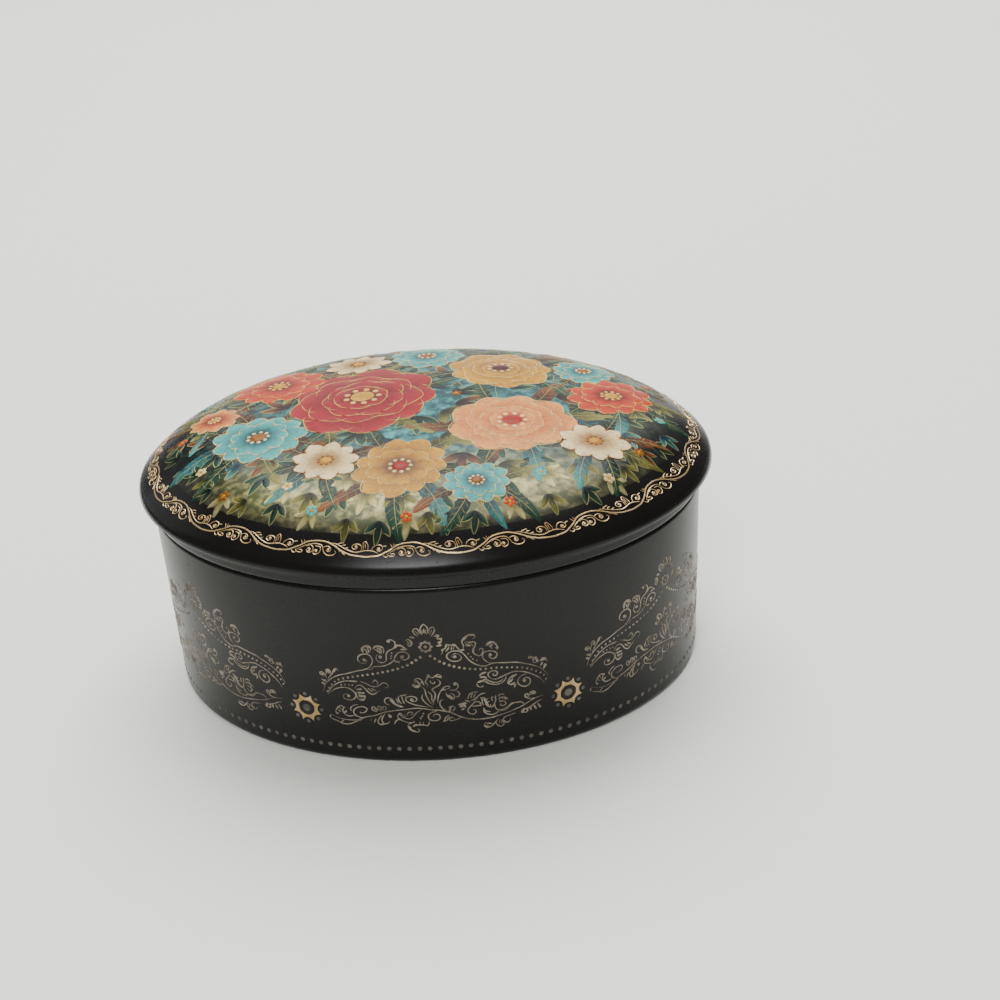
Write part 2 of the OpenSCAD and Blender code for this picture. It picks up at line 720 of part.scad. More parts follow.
module dust_cover() {
    inner_l = plate_l + 2*cover_gap;
    inner_w = plate_w + 2*cover_gap;
    inner_corner = plate_corner + cover_gap;
    slot_y0 = wire_y - wire_r - 2.2;
    color([0.85, 0.9, 0.92, 0.35]) difference() {
        translate([0, 0, floor_z]) linear_extrude(cover_z + cover_t - floor_z)
            polygon(round_rect(inner_l + 2*cover_t, inner_w + 2*cover_t, inner_corner + cover_t));
        translate([0, 0, floor_z - 1]) linear_extrude(cover_z - floor_z + 1)
            polygon(round_rect(inner_l, inner_w, inner_corner));
        translate([wire_x - wire_r - 0.4, slot_y0, cover_z - 1])
            cube([2*wire_r + 0.8, wire_y + wire_r + 0.4 - slot_y0, cover_t + 2]);
    }
}

box_body();
lid();
bedplate();
mounting_screws();
mounting_washers();
spring_housing();
housing_screws();
mainspring();
winding_arbor();
arbor_clip();
ratchet_wheel();
winding_key();
crown_wheel();
click();
melody_cylinder();
cylinder_arbor();
cylinder_pinion();
cylinder_gear();
cylinder_bracket();
bracket_screw();
comb();
comb_screws();
governor_frame();
frame_screws();
governor_arbor();
governor_wheel();
worm_shaft();
fan();
worm_cock();
stop_lever();
lever_pin();
dust_cover();
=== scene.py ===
# %% [markdown]
# # An oval porcelain music box
# The CAD model is loaded first and stays as the fixed frame. It already holds every piece of the
# movement, in metres, so the Blender work is about the looks: smooth glazed porcelain, raised gilding,
# a painted lid and believable metals.

# %% Load the frame
import json
import math

import bmesh
import bpy
from mathutils import Matrix, Vector


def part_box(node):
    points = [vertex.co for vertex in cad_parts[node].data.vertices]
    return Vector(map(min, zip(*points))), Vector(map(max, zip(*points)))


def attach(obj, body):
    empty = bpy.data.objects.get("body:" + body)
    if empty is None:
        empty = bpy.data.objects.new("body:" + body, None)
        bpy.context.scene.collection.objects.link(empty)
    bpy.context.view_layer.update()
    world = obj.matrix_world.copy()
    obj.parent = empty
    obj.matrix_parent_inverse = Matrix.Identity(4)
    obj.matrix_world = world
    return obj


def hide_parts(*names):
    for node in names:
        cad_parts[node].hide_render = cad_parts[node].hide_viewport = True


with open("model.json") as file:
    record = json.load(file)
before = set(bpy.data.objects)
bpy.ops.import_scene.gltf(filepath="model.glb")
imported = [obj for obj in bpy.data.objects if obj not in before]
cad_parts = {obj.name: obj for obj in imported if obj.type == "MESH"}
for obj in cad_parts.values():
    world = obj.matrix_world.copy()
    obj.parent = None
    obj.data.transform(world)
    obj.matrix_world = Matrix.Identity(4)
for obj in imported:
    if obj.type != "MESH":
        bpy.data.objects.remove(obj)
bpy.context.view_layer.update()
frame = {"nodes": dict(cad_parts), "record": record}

# %% [markdown]
# The porcelain is an oval, a turned shape squeezed across its width. One number, the offset from the
# rim, and one height give a point of the section, and an angle carries it round. The angle starts at
# the middle of the front. Working in millimetres keeps the numbers easy to read, and MM turns them into
# metres at the last moment.

# %% Measures of the oval
MM = 0.001
RIM = 42.1
NARROW = 68 / 84.2
BOX_H = 30.0


def oval(offset, turn, height):
    """A point of the oval, in millimetres, at an offset from the rim and an angle from the front."""
    reach = RIM + offset
    return Vector((reach * math.sin(turn), -reach * NARROW * math.cos(turn), height))


# %% [markdown]
# The photograph is taken from a little above and a little to the right, from about a foot away. A real
# lens this close shows perspective, so the focal length matters as much as the place. The three axes of
# the camera are written out, so that the slight tilt of the hand-held shot is kept too.

# %% Camera
RIGHT = Vector((0.99828, 0.01119, -0.05737))
UP = Vector((0.04565, 0.46382, 0.88475))
AHEAD = Vector((-0.03651, 0.88586, -0.46252))
EYE = Vector((21.84, -259.37, 160.96)) * MM
LENS = 67.67
SENSOR = 36

camera_data = bpy.data.cameras.new("camera")
camera_data.lens = LENS
camera_data.sensor_width = SENSOR
camera_data.clip_start = 0.01
camera = bpy.data.objects.new("camera", camera_data)
bpy.context.collection.objects.link(camera)
axes = Matrix((RIGHT, UP, -AHEAD)).transposed().to_4x4()
camera.matrix_world = Matrix.Translation(EYE) @ axes
bpy.context.scene.camera = camera
print("camera", round(EYE.length / MM), "mm from the box")

# %% [markdown]
# Every finish is built from shader nodes. Node trees are easier to read as formulas, so a Wire stands
# for one output of a node, and adding or multiplying wires adds the Math nodes. A Finish is a material in
# the making: node() makes any node from its type, its settings and its sockets.

# %% Shader helpers
class Wire:
    """One output of a shader node. Sums and products of wires add Math nodes."""

    def __init__(self, finish, socket):
        self.finish = finish
        self.socket = socket

    def math(self, operation, first, second):
        """A Math node on two wires or numbers."""
        return self.finish.node("ShaderNodeMath", {"operation": operation}, {0: first, 1: second})

    def __add__(self, other):
        return self.math("ADD", self, other)

    def __mul__(self, other):
        return self.math("MULTIPLY", self, other)

    def __sub__(self, other):
        return self.math("SUBTRACT", self, other)

    def __rsub__(self, other):
        return self.math("SUBTRACT", other, self)

    __radd__ = __add__
    __rmul__ = __mul__


class Finish:
    """A material in the making, with its Principled shader."""

    def __init__(self, name, **constants):
        self.material = bpy.data.materials.new(name)
        self.material.use_nodes = True
        self.tree = self.material.node_tree
        self.shader = self.tree.nodes["Principled BSDF"]
        self.set(constants)

    def plug(self, socket, value):
        """Links a wire to a socket, or sets the socket to a plain value."""
        if isinstance(value, Wire):
            self.tree.links.new(value.socket, socket)
        else:
            socket.default_value = value

    def set(self, values):
        """Sets sockets of the Principled shader, with _ for a space in their names."""
        for name, value in values.items():
            self.plug(self.shader.inputs[name.replace("_", " ")], value)

    def node(self, kind, settings=None, sockets=None, out=0):
        """Any node, from its type, its settings and its sockets, as the wire of one output."""
        made = self.tree.nodes.new(kind)
        for name, value in (settings or {}).items():
            setattr(made, name, value)
        for name, value in (sockets or {}).items():
            self.plug(made.inputs[name], value)
        return Wire(self, made.outputs[out])

    def here(self):
        """The place on the piece, in metres."""
        return self.node("ShaderNodeTexCoord", out=3)

    def noise(self, size, detail=3.0, where=None):
        """Soft noise whose features are about that many millimetres across."""
        sockets = {"Vector": where or self.here(), "Scale": 1 / (size * MM), "Detail": detail}
        return self.node("ShaderNodeTexNoise", sockets=sockets)

    def band(self, value, low, high):
        """0 below low, 1 above high, smooth between."""
        settings = {"interpolation_type": "SMOOTHSTEP"}
        sockets = {"Value": value, "From Min": low, "From Max": high}
        return self.node("ShaderNodeMapRange", settings, sockets)

    def mix(self, share, first, second):
        """A colour between two colours."""
        settings = {"data_type": "RGBA"}
        return self.node("ShaderNodeMix", settings, {0: share, 6: first, 7: second}, out=2)

    def tint(self, vector, factors):
        """A colour or a place, multiplied by three factors."""
        return self.node("ShaderNodeVectorMath", {"operation": "MULTIPLY"}, {0: vector, 1: factors})

    def bump(self, height, depth):
        """Fine relief: height is 0 to 1 and depth is in millimetres."""
        sockets = {"Height": height, "Distance": depth * MM, "Strength": 1.0}
        self.set({"Normal": self.node("ShaderNodeBump", sockets=sockets)})


def rgb(red, green, blue):
    """A colour as seen on a screen, 0 to 255, turned into the linear light that shaders use."""
    linear = [c / 12.92 if c <= 0.04045 else ((c + 0.055) / 1.055) ** 2.4
              for c in (red / 255, green / 255, blue / 255)]
    return (*linear, 1.0)


print("shader helpers ready")

# %% [markdown]
# The box stands on plain white paper under soft light. A real product table has a large soft source
# overhead and bright walls around it. Four large area lights and a dim, even world give the same calm
# shadows, and the long highlight along the lid's lip.

# %% Floor and light
FLOOR_HALF = 3.0
WORLD_LIGHT = 0.12
AIM = Vector((0, 0, 0.02))

paper = Finish("paper", Roughness=0.85)
fibres = paper.noise(1.2, 6)
paper.set({"Base_Color": paper.mix(fibres, rgb(246, 247, 239), rgb(252, 253, 245))})
paper.bump(fibres, 0.01)

floor_mesh = bpy.data.meshes.new("floor")
grid = bmesh.new()
bmesh.ops.create_grid(grid, x_segments=8, y_segments=8, size=FLOOR_HALF)
grid.to_mesh(floor_mesh)
grid.free()
floor = bpy.data.objects.new("floor", floor_mesh)
floor_mesh.materials.append(paper.material)
bpy.context.collection.objects.link(floor)


def soft_light(name, place, size, power):
    """A large square lamp that looks at the box."""
    lamp = bpy.data.lights.new(name, "AREA")
    lamp.shape = "SQUARE"
    lamp.size = size
    lamp.energy = power
    holder = bpy.data.objects.new(name, lamp)
    holder.location = place
    holder.rotation_euler = (AIM - holder.location).to_track_quat("-Z", "Y").to_euler()
    bpy.context.collection.objects.link(holder)


soft_light("overhead", (0, 0.4, 0.9), 0.9, 17)
soft_light("back_wall", (0, 1.3, 0.55), 1.2, 5)
soft_light("window", (-0.1, -0.75, 0.75), 0.4, 6.8)
soft_light("left_wall", (-1.1, 0.5, 0.4), 0.8, 1)

sky = bpy.data.worlds.new("studio")
sky.use_nodes = True
background = sky.node_tree.nodes["Background"]
background.inputs["Color"].default_value = (1, 1, 1, 1)
background.inputs["Strength"].default_value = WORLD_LIGHT
bpy.context.scene.world = sky

# %% [markdown]
# Glossy porcelain mirrors what stands around it. In the photograph the paper is small, and beyond it the
# table is dark, which draws the black band under the lid's lip. A black card round the front and the two
# sides does the same here. Only mirror rays meet it, so it neither shows nor throws a shadow.

# %% Dark table round the paper
PAPER_HALF = 0.125
TABLE_HALF = 0.9
TABLE_BACK = 0.4
TABLE_Z = 0.4 * MM

table_black = Finish("table_black", Roughness=0.9)
table_black.set({"Base_Color": table_black.mix(table_black.noise(20, 4), rgb(6, 6, 6), rgb(14, 13, 12))})
table_plan = [(-TABLE_HALF, TABLE_BACK), (-PAPER_HALF, TABLE_BACK), (-PAPER_HALF, -PAPER_HALF),
              (PAPER_HALF, -PAPER_HALF), (PAPER_HALF, TABLE_BACK), (TABLE_HALF, TABLE_BACK),
              (TABLE_HALF, -TABLE_HALF), (-TABLE_HALF, -TABLE_HALF)]
table_mesh = bpy.data.meshes.new("dark_table")
table_faces = [(0, 1, 2, 7), (7, 2, 3, 6), (3, 4, 5, 6)]
table_mesh.from_pydata([(x, y, TABLE_Z) for x, y in table_plan], [], table_faces)
table_mesh.materials.append(table_black.material)
dark_table = bpy.data.objects.new("dark_table", table_mesh)
bpy.context.collection.objects.link(dark_table)
dark_table.visible_camera = False
dark_table.visible_diffuse = False
dark_table.visible_transmission = False
dark_table.visible_shadow = False
print("dark table round a paper of", 2 * PAPER_HALF, "m")

# %% [markdown]
# Black glaze on porcelain is not a mirror. It pools a little, so the surface waves very slightly, and it
# carries a faint satin haze and a few tiny pits. The colour stays almost black, and the character comes
# from the roughness and a shallow bump.

# %% Black glaze
def black_glaze(name, gloss):
    """The satin black glaze of the porcelain, with a strength for its shine."""
    finish = Finish(name, Specular_IOR_Level=gloss)
    cloud = finish.noise(9, 2)
    grain = finish.noise(0.5, 4)
    pits = finish.band(finish.noise(1.1, 1), 0.70, 0.78)
    finish.set({
        "Base_Color": finish.mix(cloud, rgb(17, 16, 15), rgb(22, 21, 20)),
        "Roughness": cloud * 0.06 + grain * 0.06 + pits * 0.1 + 0.2,
    })
    finish.bump(cloud * 0.6 + grain * 0.05 - pits * 0.2, 0.02)
    return finish


body_glaze = black_glaze("body_glaze", 0.22)
print("glaze nodes:", len(body_glaze.tree.nodes))

# %% [markdown]
# A potter throws or casts an oval like this from one section. turn_oval takes that section as a chain of
# offsets and heights that starts and ends on the middle line, and carries it round the oval. A turned
# mesh has even rings, so the glaze shades smoothly, and the corners carry small real radii.

# %% Turning an oval
ROUND_STEPS = 256
SMOOTH_ANGLE = 35


def arc(centre, radius, start, end, steps):
    """Points of an arc, with angles in degrees."""
    turns = [math.radians(start + (end - start) * i / steps) for i in range(steps + 1)]
    return [(centre[0] + radius * math.cos(a), centre[1] + radius * math.sin(a)) for a in turns]


def eased(corners, steps=5):
    """A chain of (offset, height, radius) corners with each corner rounded by its radius."""
    points = []
    for i, (x, z, radius) in enumerate(corners):
        here = Vector((x, z))
        if radius == 0:
            points.append((x, z))
            continue
        back = (Vector(corners[i - 1][:2]) - here).normalized()
        on = (Vector(corners[i + 1][:2]) - here).normalized()
        start, end = here + back * radius, here + on * radius
        for k in range(steps + 1):
            t = k / steps
            p = start * (1 - t) ** 2 + here * 2 * t * (1 - t) + end * t ** 2
            points.append((p.x, p.y))
    return points


def make_piece(name, points, faces, finishes, body, smooth_angle=SMOOTH_ANGLE):
    """A mesh piece in place, in metres, that rides on a body and takes a slot's finish."""
    mesh = bpy.data.meshes.new(name)
    mesh.from_pydata([tuple(Vector(p) * MM) for p in points], [], faces)
    for finish in finishes:
        mesh.materials.append(finish.material)
    mesh.shade_smooth()
    mesh.set_sharp_from_angle(angle=math.radians(smooth_angle))
    mesh.update()
    piece = bpy.data.objects.new(name, mesh)
    bpy.context.collection.objects.link(piece)
    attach(piece, body)
    return piece


def turn_oval(section):
    """Points and faces of a section turned round the oval. Its first and last points are on the axis."""
    points = [oval(-RIM, 0, section[0][1])]
    rings = section[1:-1]
    for offset, height in rings:
        points += [oval(offset, 2 * math.pi * k / ROUND_STEPS, height) for k in range(ROUND_STEPS)]
    points.append(oval(-RIM, 0, section[-1][1]))
    faces = []
    last = len(points) - 1
    for k in range(ROUND_STEPS):
        on = (k + 1) % ROUND_STEPS
        faces.append((0, 1 + on, 1 + k))
        for ring in range(len(rings) - 1):
            low = 1 + ring * ROUND_STEPS
            high = low + ROUND_STEPS
            faces.append((low + k, low + on, high + on, high + k))
        top = 1 + (len(rings) - 1) * ROUND_STEPS
        faces.append((top + k, top + on, last))
    return points, faces


print("one ring has", ROUND_STEPS, "points")

# %% [markdown]
# The body is a plain oval cup. Its wall draws in a little towards the foot, the foot edge is rounded, and
# the underside is hollowed for the winding key. The holes in the floor let the arbor and three screws
# through. They are bored with a Boolean, as a drill would, and the Boolean is then applied.

# %% Porcelain body
DRAFT = 0.9
WALL = 3.2
FOOT_R = 1.2
FOOT_Z = FOOT_R - 0.05
FLOOR_TOP = 12.0
RECESS = 9.0
ARBOR_BORE = 2.2
SCREW_BORE = 1.6
SCREW_HOLES = [(-19.5, -13.5), (20.0, -13.5), (2.0, 15.5)]

foot_start = -math.degrees(math.asin(FOOT_Z / FOOT_R))
body_section = (
    eased([(-RIM, RECESS, 0), (-WALL - DRAFT, RECESS, 1.0), (-WALL - DRAFT, 0, 0.35),
           (-DRAFT - FOOT_R, 0, 0)])
    + arc((-DRAFT - FOOT_R, FOOT_Z), FOOT_R, foot_start, 0, 10)
    + eased([(-DRAFT * 0.5, (BOX_H + FOOT_Z) / 2, 0), (0, BOX_H, 0.9), (-WALL, BOX_H, 0.45),
             (-WALL, FLOOR_TOP, 1.2), (-RIM, FLOOR_TOP, 0)])
)
points, faces = turn_oval(body_section)
porcelain_body = make_piece("porcelain_body", points, faces, [body_glaze], "box")
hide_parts("box_body")


def bore(piece, holes):
    """Drills round holes, given as (x, y, radius), straight through the floor of a piece."""
    drill_mesh = bpy.data.meshes.new("drill")
    drill = bmesh.new()
    for x, y, radius in holes:
        place = Matrix.Translation(Vector((x, y, (RECESS + FLOOR_TOP) / 2)) * MM)
        bmesh.ops.create_cone(drill, cap_ends=True, segments=48, radius1=radius * MM, radius2=radius * MM,
                              depth=(FLOOR_TOP - RECESS + 2) * MM, matrix=place)
    drill.to_mesh(drill_mesh)
    drill.free()
    tool = bpy.data.objects.new("drill", drill_mesh)
    bpy.context.collection.objects.link(tool)
    cut = piece.modifiers.new("holes", "BOOLEAN")
    cut.object = tool
    cut.solver = "EXACT"
    view = bpy.context.evaluated_depsgraph_get()
    bored = bpy.data.meshes.new_from_object(piece.evaluated_get(view))
    piece.modifiers.clear()
    piece.data = bored
    bpy.data.objects.remove(tool)
    bored.set_sharp_from_angle(angle=math.radians(SMOOTH_ANGLE))


def middle(node):
    """The middle of a CAD node in plan, in millimetres."""
    low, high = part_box(node)
    return (low.x + high.x) / 2 / MM, (low.y + high.y) / 2 / MM


arbor_x, arbor_y = middle("winding_arbor")
bore(porcelain_body, [(arbor_x, arbor_y, ARBOR_BORE)] + [(x, y, SCREW_BORE) for x, y in SCREW_HOLES])
print("porcelain body faces:", len(porcelain_body.data.polygons))

# %% [markdown]
# The lid's section runs up a short neck, into a small cove, round a bull-nosed lip and over a dome that
# is steep at the shoulder and nearly flat on top. Underneath is a hollow with a flange that drops inside
# the body's wall. The heights repeat the CAD numbers, so the smooth lid stands exactly where the solid is.

# %% Porcelain lid
NECK = 0.25
COVE_R = 1.35
LIP_REACH = 1.9
LIP_Z = BOX_H + 2.75
LIP_LOW_R = 0.3
LIP_TOP_R = 2.2
SHOULDER_SLOPE = 43
SHOULDER_R = 25.0
CROWN_SLOPE = 8
LID_T = 3.2
FLANGE = -WALL - 0.35
FLANGE_T = 2.2
FLANGE_H = 3.0

steep = math.radians(SHOULDER_SLOPE)
gentle = math.radians(CROWN_SLOPE)
lip_o = LIP_REACH - LIP_TOP_R
shoulder_o = lip_o + (LIP_TOP_R - SHOULDER_R) * math.sin(steep)
shoulder_z = LIP_Z + (LIP_TOP_R - SHOULDER_R) * math.cos(steep)
crown_o = shoulder_o + SHOULDER_R * math.sin(gentle)
crown_r = (crown_o + RIM) / math.sin(gentle)
crown_z = shoulder_z + SHOULDER_R * math.cos(gentle) - crown_r * math.cos(gentle)


def dome(offset):
    """Height of the dome over an offset from the rim."""
    if offset > crown_o:
        return shoulder_z + math.sqrt(SHOULDER_R ** 2 - (offset - shoulder_o) ** 2)
    return crown_z + math.sqrt(crown_r ** 2 - (offset + RIM) ** 2)


def spread(start, end, steps):
    """Even steps from start to end, both included."""
    return [start + (end - start) * i / steps for i in range(steps + 1)]


hollow_o = FLANGE - FLANGE_T
cove_z = LIP_Z - LIP_LOW_R - COVE_R
dome_o = lip_o + LIP_TOP_R * math.sin(steep)
lid_section = (
    [(o, dome(o) - LID_T) for o in spread(-RIM, hollow_o, 24)]
    + eased([(hollow_o, BOX_H + 3, 0), (hollow_o, BOX_H - FLANGE_H, 0.6), (FLANGE, BOX_H - FLANGE_H, 0.6),
             (FLANGE, BOX_H, 0.3), (NECK, BOX_H, 0.55), (NECK, cove_z, 0)])
    + arc((NECK + COVE_R, cove_z), COVE_R, 172, 90, 8)
    + arc((LIP_REACH - LIP_LOW_R, LIP_Z), LIP_LOW_R, -90, 0, 8)
    + arc((lip_o, LIP_Z), LIP_TOP_R, 8, 90 - SHOULDER_SLOPE, 6)
    + [(o, dome(o)) for o in spread(dome_o, crown_o, 40)[1:]]
    + [(o, dome(o)) for o in spread(crown_o, -RIM, 40)[1:]]
)
print("crown of the lid at", round(dome(-RIM), 2), "mm")

# %% [markdown]
# The picture on such a lid is painted on a dark ground that glows in the middle and fades to black
# before it meets the gold border. That ground is a finish, not a shape, so it is made of nodes: the
# distance from the middle of the oval sets how far the colour has faded, and noise breaks it up like
# brush work in several thin coats.

# %% Painted ground of the lid
PICTURE_EDGE = 40.6
GROUND_IN = 3


def from_middle(finish):
    """The place in plan, squeezed to a circle, and its distance from the middle, in millimetres."""
    plan = finish.tint(finish.here(), (1 / MM, 1 / MM / NARROW, 0))
    return plan, finish.node("ShaderNodeVectorMath", {"operation": "LENGTH"}, {0: plan}, out=1)


def painted_ground():
    """Black glaze with a soft blue-green glow, and a lighter front meadow that is partly painted sheen."""
    finish = black_glaze("painted_ground", 0.2)
    plan, reach = from_middle(finish)
    blotch = finish.noise(7, 5)
    fine = finish.noise(1.4, 6)
    across = finish.node("ShaderNodeSeparateXYZ", sockets={0: plan}, out=1)
    fade = 1 - finish.band(reach + blotch * 5 - 2.5, PICTURE_EDGE - 8, PICTURE_EDGE)
    # Painted sheen: the front of the picture turns to a lighter meadow, and part of its lightness stands in
    # for light falling on the lid's front.
    meadow_and_sheen = 1 - finish.band(across + blotch * 14 - 7, -34, -14)
    glow = 1 - finish.band(reach + blotch * 24 - 12, 10, 34)
    light = finish.band(blotch * 0.4 + fine * 0.6, 0.42, 0.64)
    deep = finish.mix(light, rgb(12, 22, 22), rgb(52, 60, 44))
    bright = finish.mix(light, rgb(12, 62, 68), rgb(72, 156, 150))
    # The light end of this grass colour is partly painted sheen.
    grass_and_sheen = finish.mix(light, rgb(92, 98, 54), rgb(220, 210, 140))
    ground = finish.mix(meadow_and_sheen, finish.mix(glow, deep, bright), grass_and_sheen)
    finish.set({"Base_Color": finish.mix(fade, rgb(24, 24, 24), ground), "Roughness": fine * 0.12 + 0.2})
    return finish


lid_glaze = black_glaze("lid_glaze", 0.22)
lid_ground = painted_ground()
points, faces = turn_oval(lid_section)
porcelain_lid = make_piece("porcelain_lid", points, faces, [lid_glaze, lid_ground], "lid")
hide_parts("lid")
for face in porcelain_lid.data.polygons:
    centre = face.center / MM
    offset = math.hypot(centre.x, centre.y / NARROW) - RIM
    if offset < -GROUND_IN and centre.z > dome(offset) - LID_T / 2:
        face.material_index = 1
print("porcelain lid faces:", len(porcelain_lid.data.polygons))

# %% [markdown]
# Gilders lay the gold as a thin raised line that is fired on top of the glaze. To draw on curved
# porcelain, ornament is planned on a flat strip, as lengths along the oval and heights up the wall, and
# then placed on the surface. A Ring turns a true length into an angle, so that motifs keep their width
# where the oval bends sharply.

# %% Places on the porcelain
PANEL_IN = -0.54
BORDER_IN = -1.8


class Ring:
    """Lengths along one ring of the oval, from the middle of the front."""

    STEPS = 2400

    def __init__(self, offset):
        corners = [oval(offset, 2 * math.pi * k / self.STEPS, 0) for k in range(self.STEPS + 1)]
        self.runs = [0.0]
        for a, b in zip(corners, corners[1:]):
            self.runs.append(self.runs[-1] + (b - a).length)
        self.length = self.runs[-1]

    def turn(self, run):
        run %= self.length
        low, high = 0, self.STEPS
        while high - low > 1:
            half = (low + high) // 2
            if self.runs[half] <= run:
                low = half
            else:
                high = half
        share = (run - self.runs[low]) / (self.runs[high] - self.runs[low])
        return 2 * math.pi * (low + share) / self.STEPS


wall_ring = Ring(PANEL_IN)
border_ring = Ring(BORDER_IN)


def on_wall(run, height, lift):
    """A point of the wall, a length along the ring and a height up it, lifted off the glaze."""
    turn = wall_ring.turn(run)
    offset = -DRAFT * (BOX_H - height) / (BOX_H - FOOT_Z)
    out = Vector((NARROW * math.sin(turn), -math.cos(turn), 0)).normalized()
    return oval(offset, turn, height) + out * lift


def on_lid(x, y, lift):
    """A point of the lid's dome over a place in plan, lifted off the glaze."""
    reach = max(math.hypot(x, y / NARROW), 1e-6)
    offset = reach - RIM
    slope = (dome(offset + 0.01) - dome(offset - 0.01)) / 0.02
    up = Vector((-slope * x / reach, -slope * y / reach / NARROW ** 2, 1)).normalized()
    return Vector((x, y, dome(offset))) + up * lift


def on_border(run, climb, lift):
    """A point of the lid's shoulder, a length along the border and a climb in from the rim."""
    spot = oval(-climb, border_ring.turn(run), 0)
    return on_lid(spot.x, spot.y, lift)


print("wall is", round(wall_ring.length, 1), "mm round, border", round(border_ring.length, 1), "mm")

# %% [markdown]
# The Gilder lays ridges: thin closed strips that stand a few hundredths of a millimetre proud, highest in
# the middle, with their edges just under the glaze. A stroke is a ridge along a smooth chain of points, a
# rosette is a ridge that closes on itself, and a dot is a small dome. All of them are true solids, so
# they catch the light from any side.

# %% The gilder's tools
SINK = 0.03
RIDGE_ANGLE = 60


def smooth_chain(path, step):
    """Points of a smooth curve through the path, about a step apart."""
    path = [Vector(p) for p in path]
    padded = [2 * path[0] - path[1]] + path + [2 * path[-1] - path[-2]]
    chain = []
    for a, b, c, d in zip(padded, padded[1:], padded[2:], padded[3:]):
        count = max(2, round((c - b).length / step))
        for k in range(count):
            t = k / count
            chain.append(0.5 * (2 * b + (c - a) * t + (2 * a - 5 * b + 4 * c - d) * t ** 2
                                + (3 * b - a - 3 * c + d) * t ** 3))
    chain.append(path[-1])
    return chain


def sides(chain, widths):
    """The left and right edges of a strip along a chain."""
    lefts, rights = [], []
    for i, p in enumerate(chain):
        ahead = chain[min(i + 1, len(chain) - 1)] - chain[max(i - 1, 0)]
        across = Vector((-ahead.y, ahead.x)).normalized() * widths[i] / 2
        lefts.append(p + across)
        rights.append(p - across)
    return lefts, rights


class Gilder:
    """Lays raised strokes, dots and rosettes on a curved surface, all in one mesh."""

    def __init__(self, place):
        self.place = place
        self.points = []
        self.faces = []
        self.paints = []

    def add(self, point, paint):
        """One point with its colour. Gives back its number."""
        self.points.append(point)
        self.paints.append(paint)
        return len(self.points) - 1

    def ridge(self, lefts, rights, rise, closed=False, across=2, base=0.0, paint=None):
        """A low ridge between two edges. paint gives the colour from the shares along and across it."""
        rings = []
        count = len(lefts)
        for i, (left, right) in enumerate(zip(lefts, rights)):
            along = i / max(1, count - 1)
            ring = []
            for k in range(across + 1):
                share = k / across
                spot = left.lerp(right, share)
                lift = base + rise * math.sin(math.pi * share) if 0 < k < across else base - SINK
                ring.append(self.add(self.place(spot.x, spot.y, lift), paint and paint(along, share)))
            spot = left.lerp(right, 0.5)
            under = min(base - 2 * SINK, -2 * SINK)
            ring.append(self.add(self.place(spot.x, spot.y, under), paint and paint(along, 0.5)))
            rings.append(ring)
        size = across + 2
        for i in range(count if closed else count - 1):
            here, on = rings[i], rings[(i + 1) % count]
            for k in range(size):
                self.faces.append((here[k], here[(k + 1) % size], on[(k + 1) % size], on[k]))
        if not closed:
            self.faces.append(tuple(reversed(rings[0])))
            self.faces.append(tuple(rings[-1]))

    def stroke(self, path, width, rise=0.05, shift=0.0, ends=0.3, base=0.0, paint=None, step=0.22):
        """A line of even width whose ends narrow to a share of it."""
        chain = smooth_chain([(x + shift, y) for x, y in path], step)
        last = len(chain) - 1
        fine = [min(1.0, ends + 4 * min(i, last - i) / last) for i in range(last + 1)]
        lefts, rights = sides(chain, [width * f for f in fine])
        self.ridge(lefts, rights, rise, base=base, paint=paint)

    def dot(self, x, y, radius, rise=0.06, steps=12, base=0.0, paint=None):
        """A small dome."""
        rings = []
        for share, lift in ((1.0, base - SINK), (0.8, base + 0.6 * rise), (0.45, base + 0.92 * rise)):
            ring = []
            for k in range(steps):
                a = 2 * math.pi * k / steps
                spot = (x + radius * share * math.cos(a), y + radius * share * math.sin(a))
                ring.append(self.add(self.place(*spot, lift), paint))
            rings.append(ring)
        top = self.add(self.place(x, y, base + rise), paint)
        under = self.add(self.place(x, y, min(base - 2 * SINK, -2 * SINK)), paint)
        for k in range(steps):
            on = (k + 1) % steps
            self.faces.append((under, rings[0][on], rings[0][k]))
            for low, high in zip(rings, rings[1:]):
                self.faces.append((low[k], low[on], high[on], high[k]))
            self.faces.append((rings[-1][k], rings[-1][on], top))

    def rosette(self, x, y, inner, outline, rise=0.08, steps=96):
        """A flat ring with a shaped edge. outline gives its reach at an angle."""
        angles = [2 * math.pi * k / steps for k in range(steps)]
        rays = [Vector((math.cos(a), math.sin(a))) for a in angles]
        hub = Vector((x, y))
        lefts = [hub + ray * inner for ray in rays]
        rights = [hub + ray * outline(a) for ray, a in zip(rays, angles)]
        self.ridge(lefts, rights, rise, closed=True, across=4)

    def piece(self, name, finish, body):
        """All that was laid, as one piece. Painted work carries its colours on the mesh."""
        made = make_piece(name, self.points, self.faces, [finish], body, RIDGE_ANGLE)
        if self.paints[0]:
            colours = made.data.color_attributes.new("paint", "FLOAT_COLOR", "POINT")
            colours.data.foreach_set("color", [c for paint in self.paints for c in paint])
        print(name, "faces:", len(self.faces))


print("ridge edges start under the glaze by", SINK, "mm")

# %% [markdown]
# Burnished gold on porcelain is thin. It is duller than solid gold, a little brown where the layer is
# starved, and brighter where the burnisher has rubbed. Each gilt finish is the same recipe with its own
# two colours, mixed by noise of two sizes.

# %% Gilt finishes
def gilt(name, worn, bright, roughness, metal=0.75):
    """Fired gold from a worn colour to a bright one."""
    finish = Finish(name, Metallic=metal)
    rub = finish.noise(2.5, 3)
    grain = finish.noise(0.25, 4)
    share = finish.band(rub * 0.6 + grain * 0.4, 0.38, 0.62)
    finish.set({"Base_Color": finish.mix(share, worn, bright), "Roughness": roughness + 0.15 - share * 0.2})
    finish.bump(grain, 0.01)
    return finish


